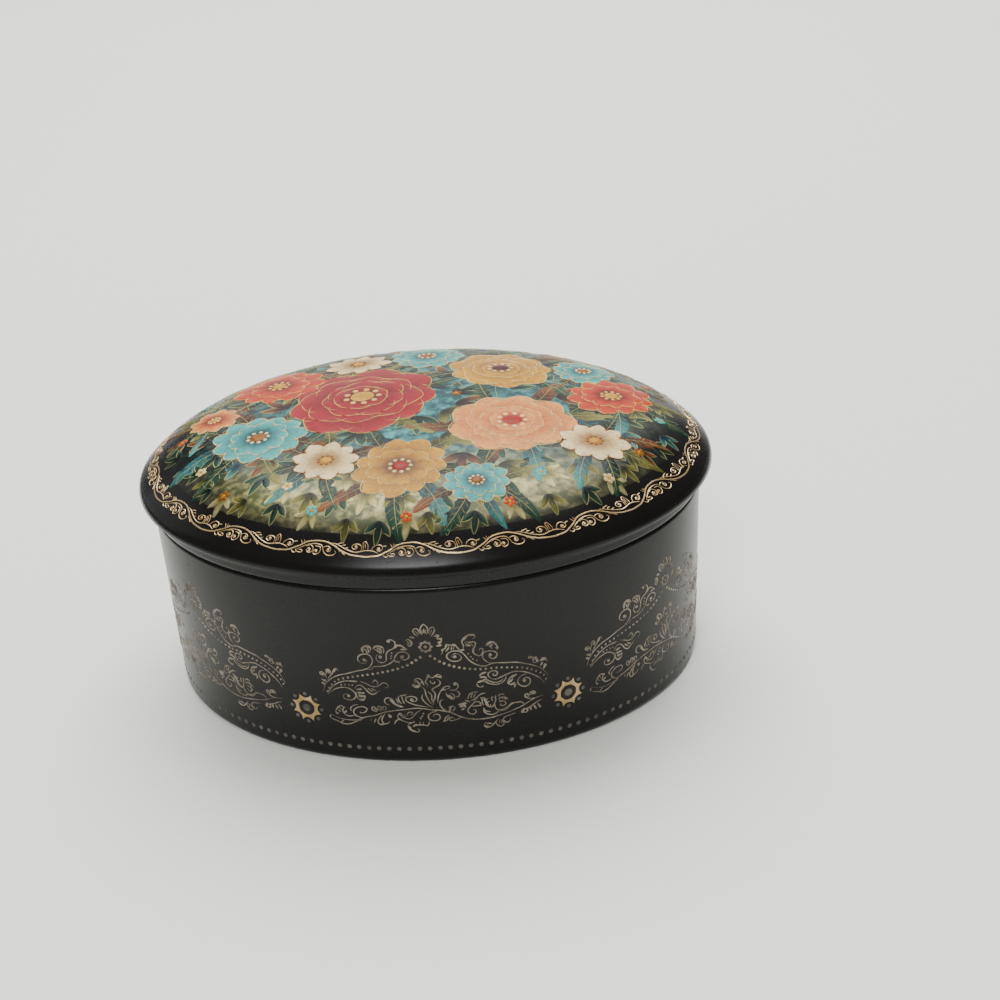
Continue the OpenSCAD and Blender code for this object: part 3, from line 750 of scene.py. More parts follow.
wall_gilt = gilt("wall_gilt", rgb(100, 92, 80), rgb(146, 135, 119), 0.46, 0.5)
star_gilt = gilt("star_gilt", rgb(162, 132, 84), rgb(200, 172, 124), 0.4, 0.4)
eye_gilt = gilt("eye_gilt", rgb(18, 9, 1), rgb(32, 18, 4), 0.5, 0.3)
dot_gilt = gilt("dot_gilt", rgb(72, 69, 62), rgb(105, 102, 94), 0.5, 0.4)
border_gilt = gilt("border_gilt", rgb(186, 152, 104), rgb(232, 204, 156), 0.36)
print("gilt finishes:", [f.material.name for f in (wall_gilt, star_gilt, eye_gilt, dot_gilt, border_gilt)])

# %% [markdown]
# Six equal panels run round the body, with a rosette between each two. One panel is drawn as a set of
# short strokes, and then repeated, as a decorator uses one transfer six times. The points are lengths
# along the wall and heights over the table, in millimetres, and the strokes are grouped by what they
# draw: the bands, the scrolls, the crest, the blossoms and the sprays.

# %% Strokes of one panel: bands and scrolls
LEFT_BAND = [
    [(-15.1, 12), (-14.8, 13), (-14.3, 13.8), (-13.4, 14.6), (-12.3, 15.2), (-11, 15.6), (-9.7, 16.1),
     (-8.6, 16.4), (-7.9, 16.7), (-7.4, 17.2), (-7.1, 17.9), (-7.2, 18.6), (-7.7, 19.1), (-8.4, 19.1),
     (-9, 18.8), (-9.25, 18.2), (-9, 17.7), (-8.5, 17.5), (-8, 17.7), (-7.95, 18.1), (-8.3, 18.3)],
    [(-14.5, 11.7), (-14, 12.6), (-13.2, 13.4), (-12.2, 14), (-11.2, 14.3), (-10, 14.3)],
    [(-14.5, 11.6), (-13.6, 12.4), (-12.6, 12.95), (-11.4, 13.1), (-10.5, 12.6), (-10.15, 11.9),
     (-10.5, 11.2), (-11.3, 10.95), (-12, 11.2), (-12, 11.8), (-11.5, 12), (-11.2, 11.6)],
    [(-14.2, 14.2), (-13.8, 14.8), (-13.4, 15.3), (-13.15, 15.8), (-12.95, 16.2), (-12.55, 16.2),
     (-12.5, 15.85)],
    [(-13.75, 15.1), (-13.65, 15.7), (-13.95, 16.05), (-14.25, 15.85), (-14.25, 15.4), (-14.4, 15)],
    [(-14.35, 14.4), (-14.5, 15), (-14.85, 15.4), (-15.25, 15.35), (-15.3, 15), (-14.95, 14.85),
     (-14.7, 14.6)],
    [(-14.4, 14.1), (-14.8, 14), (-15.2, 14.2)],
    [(-14.7, 13.4), (-15, 13.55), (-15.25, 13.5)],
]
LEFT_SCROLL = [
    [(-8, 16.5), (-7.4, 16.5), (-7, 17), (-6, 17.1), (-5.2, 17.3), (-4.5, 17.7), (-4, 18.2), (-3.8, 18.7),
     (-3.4, 19.3), (-2.8, 19.6), (-2.1, 19.4), (-1.75, 18.9), (-2, 18.4), (-2.6, 18.2), (-3, 18.5),
     (-3, 18.9), (-2.6, 19)],
    [(-6.2, 19.2), (-6.5, 18.7), (-6.4, 18.1), (-5.9, 17.75), (-5.3, 17.9), (-5.05, 18.4), (-5, 19.2),
     (-4.6, 19.8), (-4, 20.1), (-3.6, 20.6), (-3.6, 21.2), (-4, 21.6), (-4.5, 21.6), (-4.7, 21.3)],
    [(-8.4, 19.3), (-8.5, 20), (-8.1, 20.5), (-7.5, 20.6), (-7.15, 20.2), (-7.3, 19.6)],
    [(-8.1, 20.1), (-7.8, 19.6), (-7.7, 19.2)],
    [(-7.6, 20.2), (-7.5, 19.7), (-7.5, 19.3)],
    [(-6.9, 19.9), (-6.5, 20.5), (-5.9, 20.6), (-5.4, 20.3), (-5.3, 19.7), (-5.5, 19.2)],
    [(-6.4, 20), (-6, 19.6), (-5.7, 19.2)],
    [(-5.9, 20.2), (-5.7, 19.8), (-5.6, 19.4)],
    [(-3.9, 20.1), (-3.4, 20.7), (-2.8, 20.7), (-2.5, 20.4), (-1.9, 20)],
    [(-3.9, 18.1), (-3.5, 17.9), (-3.1, 17.9)],
]
LEFT_LEAF = [
    [(-9.3, 14.4), (-8.4, 14), (-7.6, 13.6), (-6.8, 13.6), (-6.3, 14), (-5.8, 14.3), (-5.3, 14),
     (-5.2, 13.5), (-5.7, 13.4)],
    [(-7.5, 14.2), (-7.1, 14.7), (-6.7, 14.3), (-6.9, 13.8)],
    [(-10.3, 12.9), (-9.9, 13.5), (-9.3, 13.7), (-8.7, 13.2), (-8.2, 12.5), (-7.6, 12.2), (-6.9, 12.6),
     (-6.4, 13)],
    [(-8.3, 13.3), (-7.9, 12.9), (-7.5, 12.6)],
    [(-7.8, 13.3), (-7.4, 13), (-7, 12.8)],
    [(-10.1, 12.6), (-10, 11.6), (-9.6, 11.1), (-9.1, 11.1), (-8.8, 11.6), (-8.7, 12)],
    [(-9.7, 12.3), (-9.5, 11.8), (-9.3, 11.5)],
]
RIGHT_SCROLL = [
    [(18.1, 12.2), (17.7, 13.2), (17.1, 14), (16.3, 14.6), (15.4, 15.1), (14.5, 15.5), (13.5, 15.9),
     (12.4, 16.1), (11.2, 16.3), (10, 16.45), (9, 16.15), (8.3, 16.25), (7.6, 16.6), (7, 17.1), (6.5, 17.7),
     (6.1, 18.4), (5.7, 18.9), (5.2, 19.2), (4.5, 19.3), (3.8, 19), (3.5, 18.4), (3.9, 17.8), (4.6, 17.5),
     (5.3, 17.6), (5.6, 18.1), (5.3, 18.6), (4.7, 18.8), (4.2, 18.5), (4.3, 18.2), (4.7, 18.2)],
    [(2.7, 18.8), (3, 19.2), (3, 19.7), (3.4, 19.8), (3.6, 20.5), (4.1, 20.3), (4.7, 20.4), (5, 20),
     (5.3, 19.5), (5.8, 19.2)],
    [(3.4, 19.3), (3.7, 19.6), (3.8, 19.9)],
    [(4.2, 19.5), (4.3, 19.8), (4.3, 20.1)],
    [(5.9, 19.3), (6, 20), (5.8, 20.7), (6.2, 21.4), (6.9, 21.7), (7.5, 21.7), (7.7, 21.3), (7.3, 21)],
    [(6.2, 20.9), (6.7, 20.5), (7.3, 20.5), (7.7, 20.3), (7.6, 19.7), (7.3, 19.2), (7.3, 18.7), (7.6, 18.3),
     (8.2, 18), (8.6, 18.4), (8.75, 18.9), (8.5, 19.25), (8.2, 19.1), (8.25, 18.7)],
    [(6.2, 20.1), (6.7, 19.9), (7.1, 19.9)],
    [(9.9, 16.4), (9.2, 16.8), (8.7, 17.4), (8.6, 18), (8.9, 18.5), (9.6, 18.6), (10.3, 18.4), (10.7, 17.9),
     (10.4, 17.3), (9.8, 17.3), (9.5, 17.7), (9.7, 18)],
    [(9.1, 19.6), (9.5, 20), (10.1, 20.1), (10.5, 19.8), (10.7, 19.3), (10.9, 18.9), (10.5, 18.5)],
    [(9.6, 19.5), (9.9, 19.2), (10, 18.9)],
    [(15.1, 16.3), (15.7, 16.2), (16.2, 15.9), (16.5, 15.3), (15.9, 15.2)],
    [(16.9, 15.2), (17.3, 15.7), (17.8, 15.5), (18, 15)],
    [(17, 14.4), (17.2, 15)],
]
RIGHT_BAND = [
    [(7.9, 13.8), (8.6, 13.6), (9.2, 13.1), (9.9, 12.8), (10.6, 12.7), (11.2, 12.9), (11.7, 13.4),
     (11.8, 14)],
    [(9.3, 14.1), (9.8, 13.75), (10.4, 13.65), (11, 13.85), (12, 14.2), (13, 14.4), (14, 14.2), (15, 13.8),
     (16, 13.1), (16.8, 12.4), (17.5, 11.4)],
    [(7.5, 13.4), (7.6, 12.9), (8.1, 12.6), (8.5, 12.8)],
    [(9.7, 13.85), (9.25, 14.3), (9.25, 14.8), (9.65, 15.1), (10.2, 15.1), (10.6, 14.75), (10.45, 14.35),
     (10.05, 14.3), (9.9, 14.6), (10.2, 14.75)],
    [(8.3, 13.8), (8.9, 13.8), (9.4, 13.45), (9.9, 13.15), (10.5, 13.05), (11.1, 13.25), (11.5, 13.6)],
    [(14.9, 13.6), (14.2, 13.5), (13.6, 13), (13.5, 12.3), (14, 11.7), (14.7, 11.5), (15.3, 11.9),
     (15.3, 12.6), (14.8, 13), (14.3, 12.8), (14.3, 12.4), (14.6, 12.3)],
    [(12.9, 13.9), (12.4, 13.5), (12, 12.7), (12.4, 12.3), (12.9, 12.2), (13.1, 11.7)],
]
print("band strokes:", sum(map(len, (LEFT_BAND, LEFT_SCROLL, LEFT_LEAF, RIGHT_SCROLL, RIGHT_BAND))))

# %% Strokes of one panel: crest, blossoms and sprays
CREST = [
    [(0.3, 22.3), (0.1, 23.2), (0.65, 24.1), (1.2, 23.3), (1, 22.4)],
    [(0.65, 22.6), (0.65, 23.4)],
    [(1.3, 22.7), (1.5, 23.4), (2, 23.5), (2.1, 22.9), (1.7, 22.2), (1.5, 22)],
    [(0, 22.7), (-0.2, 23.3), (-0.7, 23.4), (-0.9, 23), (-0.6, 22.4), (-0.2, 22.1)],
    [(1.8, 21.9), (2.3, 22.2), (2.7, 22.1), (2.4, 21.6), (3, 21.5), (2.9, 21.1), (2.5, 20.9), (2.9, 20.4),
     (2.2, 20.3)],
    [(-2.1, 21.5), (-1.7, 21.7), (-1.3, 21.4), (-1.2, 20.9), (-1.6, 20.5), (-1.9, 21)],
    [(-1.4, 22.1), (-0.8, 21.9)],
]
BLOSSOMS = [
    [(-0.4, 13.6), (0, 13), (0.1, 12.2), (0.4, 11.2), (0.9, 10.3)],
    [(-0.4, 13.8), (-1.1, 13.4), (-1.7, 13.8), (-1.3, 14.2)],
    [(-1.2, 14.2), (-1.3, 14.8), (-0.8, 15), (-0.3, 14.6), (-0.5, 14)],
    [(-0.35, 14.7), (-0.15, 14.2), (-0.05, 13.7)],
    [(-0.3, 12.3), (-0.5, 11.6), (-0.2, 10.9), (0.4, 10.2), (1, 9.8)],
    [(0.4, 12.7), (0.9, 12), (0.9, 11.2), (1.2, 10.6)],
    [(0.3, 13.4), (0.5, 13.8), (0.2, 14.3), (0.5, 15), (0.7, 15.6), (0.9, 15.1), (1.3, 15), (1.7, 15.3),
     (2.1, 15.5), (2.5, 15.2), (2.5, 14.7)],
    [(1.8, 14.8), (2.2, 14.4), (2.3, 13.9), (1.9, 13.5), (1.3, 13.2), (1.05, 12.9), (1.4, 12.4),
     (1.4, 11.6), (1.1, 10.9), (1, 10.2)],
    [(0.9, 14.6), (1, 14.1), (1.4, 14), (1.6, 14.4)],
    [(1.7, 10.6), (1.8, 11.4), (2, 12.1), (2.4, 12.8), (2.9, 13.3), (3.4, 13.4), (3.6, 13.1), (3, 12.8)],
    [(3, 12.4), (3.1, 11.8), (3.5, 11.3), (3.9, 11), (4.2, 11.4), (4, 11.9), (3.5, 12.1)],
    [(3.5, 12.7), (4, 12.6), (4.5, 12.7), (4.8, 13.1), (4.7, 13.7), (4.3, 13.9), (4.1, 13.6)],
    [(4.4, 12.5), (4.9, 12.1), (4.8, 11.5), (4.4, 11.4)],
    [(2.5, 11.1), (2.1, 10.9), (2, 10.3), (2.3, 9.6), (2.9, 9), (3.5, 8.9)],
]
STEM = [
    [(-14.4, 8.1), (-13.3, 7.6), (-12, 7.4), (-10.5, 7.5), (-9.1, 8.1), (-7.6, 8.5), (-6.2, 9.1),
     (-4.8, 9.4), (-3.4, 9.6), (-1.2, 9.8), (0.9, 9.4), (1.8, 9.3), (2.7, 9), (3.4, 8.8), (4.2, 8.3),
     (5, 7.8), (6, 7.4), (7, 7.15), (8.2, 7.05), (9.4, 7.1), (10.5, 7.3), (12, 7.6), (13, 7.9), (14, 8.2),
     (15, 8.7), (16, 9.1), (17.2, 9.3)],
]
LEFT_SPRAY = [
    [(-14.5, 7.4), (-13.5, 7), (-12.5, 6.6), (-11.6, 6.7), (-10.6, 7.2), (-9.5, 7.7)],
    [(-13.1, 8.4), (-13.6, 8.6), (-13.3, 9.3), (-12.8, 9.8), (-12.3, 9.6), (-12.5, 8.9), (-12.2, 8.4),
     (-11.7, 8.1), (-11, 8.2), (-10.4, 8.5)],
    [(-9.2, 7.95), (-10.05, 8.05), (-10.55, 8.3), (-10.8, 8.75), (-10.75, 9.2), (-10.3, 9.65), (-9.7, 9.9),
     (-9.1, 9.9), (-8.75, 9.6), (-8.85, 9.2), (-9.35, 8.85), (-9.85, 8.85), (-9.75, 9.15)],
    [(-11.1, 9.05), (-11.25, 9.4), (-11.05, 9.75), (-10.65, 10.1), (-10, 10.2)],
    [(-14.4, 8), (-14.6, 7.7), (-14.45, 7.4)],
    [(-13, 6.85), (-12.4, 7.3)],
    [(-7.2, 9.2), (-7.75, 9.3), (-8, 9.75), (-7.7, 10.05), (-7.4, 9.75), (-7.15, 9.25)],
    [(-6.7, 9.3), (-7.1, 9.65), (-7.05, 10.1), (-6.65, 10.1), (-6.55, 9.7), (-6.65, 9.3)],
    [(-6.2, 9.4), (-6.4, 9.8), (-6.2, 10.15), (-5.9, 10), (-5.95, 9.6), (-6.15, 9.4)],
    [(-5.2, 10.4), (-5.8, 10.6), (-6, 11.1), (-5.7, 11.6), (-5.1, 11.6), (-4.7, 11.1), (-4.4, 10.5),
     (-3.8, 10.1), (-3.2, 10.1)],
    [(-3.9, 11.9), (-3.9, 11.2), (-3.5, 10.6)],
    [(-3.4, 12), (-3.3, 11.2), (-3.1, 10.6)],
    [(-3.9, 11.9), (-3.3, 12.1), (-2.6, 12.2)],
    [(0.3, 9.9), (-0.8, 10.2), (-1.6, 10.4), (-2.4, 10.8), (-2.9, 11.3), (-2.6, 11.8), (-1.9, 11.9),
     (-1.3, 11.6), (-1.4, 11.1), (-2, 11), (-2.1, 11.3)],
    [(-6, 9), (-6.4, 8.4), (-6.7, 7.7), (-6.4, 7.1), (-5.8, 7.2), (-5.5, 7.6)],
    [(-6.5, 8.7), (-7, 8.1), (-7.3, 7.4), (-7, 6.9), (-6.4, 6.9)],
    [(-7.5, 8), (-7.9, 7.2)],
    [(-8.1, 7.9), (-8.4, 7.5)],
    [(-0.6, 9.6), (-1.4, 9.1), (-2, 8.4), (-2.5, 8), (-3.2, 8.1), (-3.6, 8.6), (-3.9, 9), (-4.3, 8.5),
     (-4.1, 8), (-3.5, 7.6), (-2.8, 7.3), (-2, 7.3)],
    [(-2.75, 8.5), (-2.85, 8.85), (-2.55, 9.15), (-2.1, 9.1), (-2.15, 8.75), (-2.5, 8.7)],
    [(-4.9, 7), (-4.6, 7.6), (-4.1, 7.9), (-3.6, 7.7)],
    [(-2.8, 7.2), (-2.9, 6.6), (-2.6, 6), (-2, 5.7), (-1.5, 5.6), (-1.3, 6), (-1.6, 6.2)],
    [(-2.2, 6.6), (-1.95, 6.9), (-1.4, 6.85), (-0.8, 6.85), (-0.05, 6.7), (0.2, 7.1), (0.25, 7.6)],
    [(-2.85, 7), (-2.2, 7.3), (-1.8, 7.5)],
]
RIGHT_SPRAY = [
    [(3.5, 8.7), (3.3, 9.3), (3.6, 9.8), (4.1, 9.7)],
    [(1.5, 9.1), (0.8, 9), (0.2, 8.5), (0.3, 7.8), (0.9, 7.5), (1.6, 7.6), (1.9, 8.1), (1.6, 8.6),
     (1.1, 8.6), (0.9, 8.3), (1.1, 8.1)],
    [(3.2, 8.4), (2.7, 8), (2.5, 7.5), (2.2, 7.2)],
    [(3.6, 8.1), (3.1, 7.6), (3.5, 7.3), (4.1, 7.4), (4.9, 7.7)],
    [(4.8, 10), (5.3, 10.2), (5.9, 10.1)],
    [(5, 9.6), (5.5, 9.7), (5.7, 9.3)],
    [(7.4, 10.75), (7, 10.2), (6.55, 9.65), (6.1, 9.2), (5.95, 8.7), (6.2, 8.25), (6.7, 8.1), (7.1, 8.35),
     (7.1, 8.8), (6.7, 8.8)],
    [(8.05, 9.3), (7.6, 9.5), (7.1, 9.45), (6.6, 9.5)],
    [(6.05, 10.75), (6.2, 11.3), (6.45, 11.7), (6.75, 11.85), (7.2, 11.9), (7.6, 11.8)],
    [(6.5, 10.85), (6.6, 11.3), (6.85, 11.75)],
    [(6.9, 10.8), (7, 11.25), (7.3, 11.7)],
    [(8.7, 11.5), (8.1, 11.45), (7.6, 11.15), (7.1, 10.7), (6.5, 10.5)],
    [(7.1, 10.1), (7.5, 10.2), (7.8, 9.9), (7.9, 9.5)],
    [(7.8, 10.9), (8.4, 10.7), (8.7, 10.2), (8.6, 9.6), (9, 9.1), (9.6, 9), (9.9, 9.5), (10.2, 10)],
    [(8.2, 9), (8.3, 8.3), (8.8, 7.8), (9.6, 7.6), (10.3, 7.9), (10.6, 8.4)],
    [(8.6, 6.4), (8.2, 6.1), (8.4, 5.5), (9, 5.5), (9.5, 5.8), (9.9, 6.2), (10.3, 6.7)],
    [(12.9, 7.2), (12, 7), (11.3, 6.8), (11, 6.3), (11.4, 5.8), (12, 6), (12.1, 6.4)],
    [(10, 7.6), (10.6, 8.1), (11.3, 8.3), (11.9, 8.6), (12.4, 9), (13.2, 9), (13.9, 8.9), (14.2, 8.5),
     (14.3, 8.2)],
    [(9.6, 9.9), (9.5, 10.5), (9.8, 10.7)],
    [(9.95, 9.6), (10.1, 10.1), (10.05, 10.5), (10.2, 10.85)],
    [(10.45, 10.5), (10.7, 10.85), (11.1, 10.9), (11.4, 10.6)],
    [(10.4, 10.15), (10.95, 10.35), (11.6, 10.15), (11.95, 9.7)],
    [(10.5, 9.7), (11.2, 9.65), (11.6, 9.2), (11.2, 8.85), (10.7, 9.05), (10.9, 9.35)],
    [(14.5, 10), (14.7, 9.5), (15.2, 9.2), (16, 9.1)],
    [(15.1, 9.6), (15.2, 10.2), (15.7, 10.4), (16.1, 10), (15.7, 9.85)],
    [(14, 7.2), (14.3, 7.5), (15, 7.7), (15.6, 8), (16.3, 8.4), (17, 8.6)],
    [(4.15, 9.75), (4.05, 9.3), (3.7, 8.9)],
    [(3.5, 9.6), (3.5, 9.1)],
    [(2.3, 7.35), (2.8, 7.4), (2.95, 7.8), (3.3, 8.2)],
    [(3.3, 7.7), (3.8, 7.9)],
    [(5.6, 10.6), (6, 10.5), (6.4, 10.2)],
    [(4.7, 9.75), (5.3, 9.95), (5.8, 9.7)],
    [(7.9, 10.8), (8.15, 10.4), (8.1, 9.9), (8.3, 9.4)],
    [(8.3, 9), (8.5, 8.4), (9.3, 8.1)],
    [(9.95, 9.6), (9.95, 9), (10.1, 8.5), (10.6, 8.1), (11.2, 8.05), (11.8, 8.3), (12.2, 8.7), (12.7, 9)],
    [(8.5, 6.05), (8.9, 6.15), (9.4, 5.95)],
    [(9.95, 6.15), (10.15, 5.6), (10.7, 5.3), (11.1, 5.6), (10.95, 6.1)],
    [(14.1, 7.05), (13.95, 7.55), (14.4, 7.6), (14.8, 7.25), (14.45, 6.95), (14.1, 7.05)],
    [(14.95, 9.5), (14.5, 9.6), (14.45, 10.05), (14.85, 10.1), (14.95, 9.5)],
]
print("spray strokes:", sum(map(len, (CREST, BLOSSOMS, STEM, LEFT_SPRAY, RIGHT_SPRAY))))

# %% Strokes of one panel: leaf lobes and ribs
LOBES = [
    [(-14.55, 14.9), (-15.15, 15.2)], [(-13.9, 15.3), (-14, 15.9)], [(-13.25, 15.6), (-12.75, 16.1)],
    [(-14.5, 13.8), (-15.1, 14.1)], [(-14.7, 13.2), (-15.2, 13.5)], [(-10.9, 14.3), (-9.7, 14.3)],
    [(-10, 12.9), (-9.1, 13)], [(-9.9, 12.4), (-8.8, 12.3)], [(-9.8, 11.8), (-8.7, 11.8)],
    [(-9.6, 11.2), (-8.9, 11.2)], [(-8.4, 19.4), (-8.3, 20.2), (-7.7, 20.6)], [(-7.9, 20.5), (-7.3, 20.2)],
    [(-6.7, 20.4), (-6, 20.5), (-5.3, 20.3)], [(-6.3, 20.1), (-5.6, 20)],
    [(-3.7, 20.2), (-3.3, 20.7), (-2.7, 20.6)], [(-2.9, 20), (-1.9, 20)], [(-4, 18.1), (-3.2, 17.8)],
    [(-1.5, 22.1), (-0.8, 21.9)], [(2, 22), (2.7, 22.1)], [(2.3, 21.6), (3.1, 21.5)],
    [(2.4, 21), (3, 20.9)], [(2.2, 20.4), (2.9, 20.4)], [(3.4, 19.9), (3.7, 20.5)],
    [(4.2, 20.4), (4.9, 20.1)], [(2.8, 19.6), (3.3, 19.7)], [(5.3, 19.3), (6.1, 19.3)],
    [(6, 20.9), (6.8, 21.7), (7.6, 21.6)], [(7.4, 19.3), (7.35, 18.7)],
    [(9.3, 19.8), (10, 20), (10.6, 19.7)], [(10.5, 19), (10.9, 18.9)], [(-1.6, 13.8), (-0.7, 13.6)],
    [(-1.1, 14.7), (-0.6, 13.8)], [(0.5, 14.9), (0.7, 15.6)], [(1.7, 15.2), (2.5, 15)],
    [(-5.2, 11.4), (-4.4, 10.5), (-3.4, 10.1)], [(-13.3, 8.2), (-13.6, 8.6)],
    [(-12.3, 8.6), (-11.85, 8.95)], [(-13.1, 9.4), (-12.8, 9.75)], [(-12.5, 9.7), (-12.05, 9.5)],
    [(-6.9, 7), (-6.2, 7)], [(-5.6, 8.8), (-5.3, 8.2)], [(-4.2, 8.8), (-3.6, 8.7)],
    [(-2.7, 6.7), (-2.5, 6), (-1.9, 5.7)], [(-2.2, 6.6), (-1.6, 7)], [(3.2, 9.7), (3.9, 9.8)],
    [(2.3, 12.8), (3.1, 12.8)], [(3.2, 11.9), (3.9, 11.2)], [(4.6, 10), (5.8, 10.2)],
    [(4.8, 9.6), (5.6, 9.7)], [(5, 9.1), (5.5, 9.2)], [(7.1, 10.75), (7.6, 11.1)],
    [(8.4, 10.6), (8.7, 9.8), (9, 9.2)], [(7.95, 14.6), (8.4, 14.95), (9, 15.05)],
    [(8, 14.35), (8.6, 14.3), (9, 13.95)], [(7.6, 13.5), (8.6, 13.7)], [(12, 12.5), (12.8, 13.2)],
    [(12.3, 12.2), (13.1, 12.5)], [(12.9, 11.7), (13.2, 12.3)], [(12.5, 13.4), (13.4, 13.9)],
    [(15.3, 16.4), (15.9, 16.1), (15.9, 15.4)], [(16.2, 16.1), (16.7, 15.3)], [(17.1, 15.3), (17.8, 15.6)],
    [(17.1, 14.6), (17.4, 15)], [(17.4, 13.9), (17.8, 14.4)], [(8.1, 5.8), (8.9, 5.5)],
    [(11, 6.3), (11.5, 5.8)], [(15.3, 9.9), (15.9, 10.2)], [(15.2, 7.75), (15.25, 7.1)],
    [(15.75, 7.9), (16.05, 7.15)], [(16.3, 8.1), (16.75, 7.25)],
]
RIBS = [
    [(-0.65, 23.1), (-0.1, 22.4)], [(-0.3, 23.3), (0.1, 22.5)], [(0.35, 23.2), (0.45, 22.5)],
    [(0.95, 23.2), (0.85, 22.5)], [(1.35, 23), (1.15, 22.5)], [(1.8, 23.1), (1.4, 22.4)],
    [(-1.85, 21.5), (-1.6, 20.8)], [(-1.55, 21.55), (-1.4, 20.9)], [(-6.7, 20.2), (-6.1, 19.5)],
    [(-6.2, 20.3), (-5.7, 19.6)], [(3.9, 20.2), (3.9, 19.6)], [(4.7, 20), (4.5, 19.5)],
    [(6.2, 20.6), (6.6, 20)], [(6.6, 20.5), (7, 19.8)], [(7, 20.4), (7.3, 19.8)],
    [(9.6, 19.4), (10.2, 19.5)], [(-4.3, 11.6), (-4, 10.7)], [(-2.9, 12), (-2.7, 11.5)],
    [(-13.2, 9), (-12.8, 8.7)], [(-12.95, 9.4), (-12.6, 9.1)], [(-7.35, 9.35), (-7.7, 9.8)],
    [(-6.7, 9.5), (-6.85, 9.95)], [(8.65, 10.3), (9.05, 10.5)], [(8.75, 9.8), (9.15, 10)],
    [(10.55, 10.25), (10.75, 9.9)], [(11.05, 10.3), (11.15, 9.9)], [(11.5, 10.1), (11.45, 9.7)],
    [(9.2, 9.05), (9.35, 9.45)], [(-4, 8.7), (-3.6, 8.4)], [(-3.85, 8.35), (-3.4, 8.05)],
    [(-3.25, 8.75), (-2.9, 8.35)], [(-1.2, 6.95), (-1.05, 7.45)], [(-0.7, 6.9), (-0.6, 7.35)],
    [(-1.1, 8.2), (-0.8, 8)], [(-3.5, 8.6), (-3.1, 8.2)], [(3.9, 7.45), (3.95, 7.8)],
    [(10.4, 5.8), (10.55, 6.5)], [(10.75, 5.7), (10.85, 6.5)], [(9.2, 19.5), (9.7, 19.75), (10.2, 19.5)],
]
print("lobes and ribs:", len(LOBES), len(RIBS))

# %% [markdown]
# Strings of dots follow the upper edge of each panel, largest at the crest and smaller towards the ends.
# Only the line they follow is drawn. The dots are then set out along it at an even pitch. A row of larger
# dots runs round the foot. Every rosette has a dark eye with a small dome in it, and eight satellites.

# %% Gilding of the body
PANELS = 6
LINE = 0.3
LOBE = 0.46
RIB = 0.22
BEAD_PITCH = 0.77
BEAD_FIRST = 0.27
BEAD_LAST = 0.17
KNOB_R = 0.3
SEED_R = 0.15
CREST_RUN = 0.65
CREST_Z = 20.3
CREST_HOLE = 0.55
CREST_PIP_R = 0.28
ROSETTE_RUN = 21.2
ROSETTE_Z = 8.6
ROSETTE_TIP = 2.56
ROSETTE_HOLE = 1.2
ROSETTE_BITE = 0.76
EYE_MARGIN = 0.12
EYE_DOME_R = 0.66
SATELLITES = 8
SATELLITE_REACH = 2.42
SATELLITE_R = 0.34
FOOT_DOTS = 156
FOOT_DOT_Z = 2.6
FOOT_DOT_R = 0.4
LEFT_STRING = [(-0.2, 18.6), (-1.65, 17.6), (-3.1, 16.9), (-5.3, 16.2), (-8.2, 15.55), (-11.3, 14.8),
               (-12.8, 14.2), (-13.9, 13.1), (-14.6, 11.8)]
RIGHT_STRING = [(1.2, 18.7), (2.6, 17.6), (4.1, 16.8), (5.8, 16.2), (8.2, 15.7), (10.6, 15.55),
                (13.1, 15.1), (14.7, 14.65), (16, 13.9), (17.3, 12.95), (17.95, 11.5)]
KNOBS = [(-8.3, 18.1), (-5.9, 18.7), (-4.5, 21.4), (-11.3, 11.65), (-5.4, 8.4), (14, 7.2), (4.65, 18.3),
         (9.7, 17.9), (14.5, 12.5), (-2.75, 18.75), (-2, 11.3), (4.35, 13.65),
         (15.4, 16.3), (16.3, 16), (17.7, 15.5), (17.7, 14.4)]
SEEDS = [(-12.2, 13.5), (-11.6, 13.6), (-11, 13.6), (-10.5, 13.6), (6.6, 18.6), (6.95, 18.05), (7.2, 17.6),
         (7.75, 17.3), (-4.2, 19.4), (-4.3, 18.9), (-4.4, 18.5), (-0.95, 8), (-0.7, 8.4),
         (-0.5, 8.85)]
panel_strokes = (LEFT_BAND + LEFT_SCROLL + LEFT_LEAF + RIGHT_SCROLL + RIGHT_BAND + CREST + BLOSSOMS + STEM
                 + LEFT_SPRAY + RIGHT_SPRAY)
panel_run = wall_ring.length / PANELS


def beads(gilder, path, shift):
    """Dots at an even pitch along a path, shrinking from the first radius to the last."""
    chain = smooth_chain(path, 0.05)
    run, due = 0.0, 0.0
    total = sum((b - a).length for a, b in zip(chain, chain[1:]))
    for a, b in zip(chain, chain[1:]):
        if run >= due:
            gilder.dot(a.x + shift, a.y, BEAD_FIRST + (BEAD_LAST - BEAD_FIRST) * run / total)
            due += BEAD_PITCH
        run += (b - a).length


def scooped(angle):
    """Reach of the rosette: eight points with round bites between them."""
    away = (angle / (math.pi / 4) + 0.5) % 1 - 0.5
    bite = math.sqrt(max(0.0, 1 - (away / 0.46) ** 2))
    return ROSETTE_TIP - ROSETTE_BITE * bite


def scalloped(angle):
    """Reach of the crest flower: eight round petals."""
    return 0.82 + 0.26 * abs(math.cos(4 * angle))


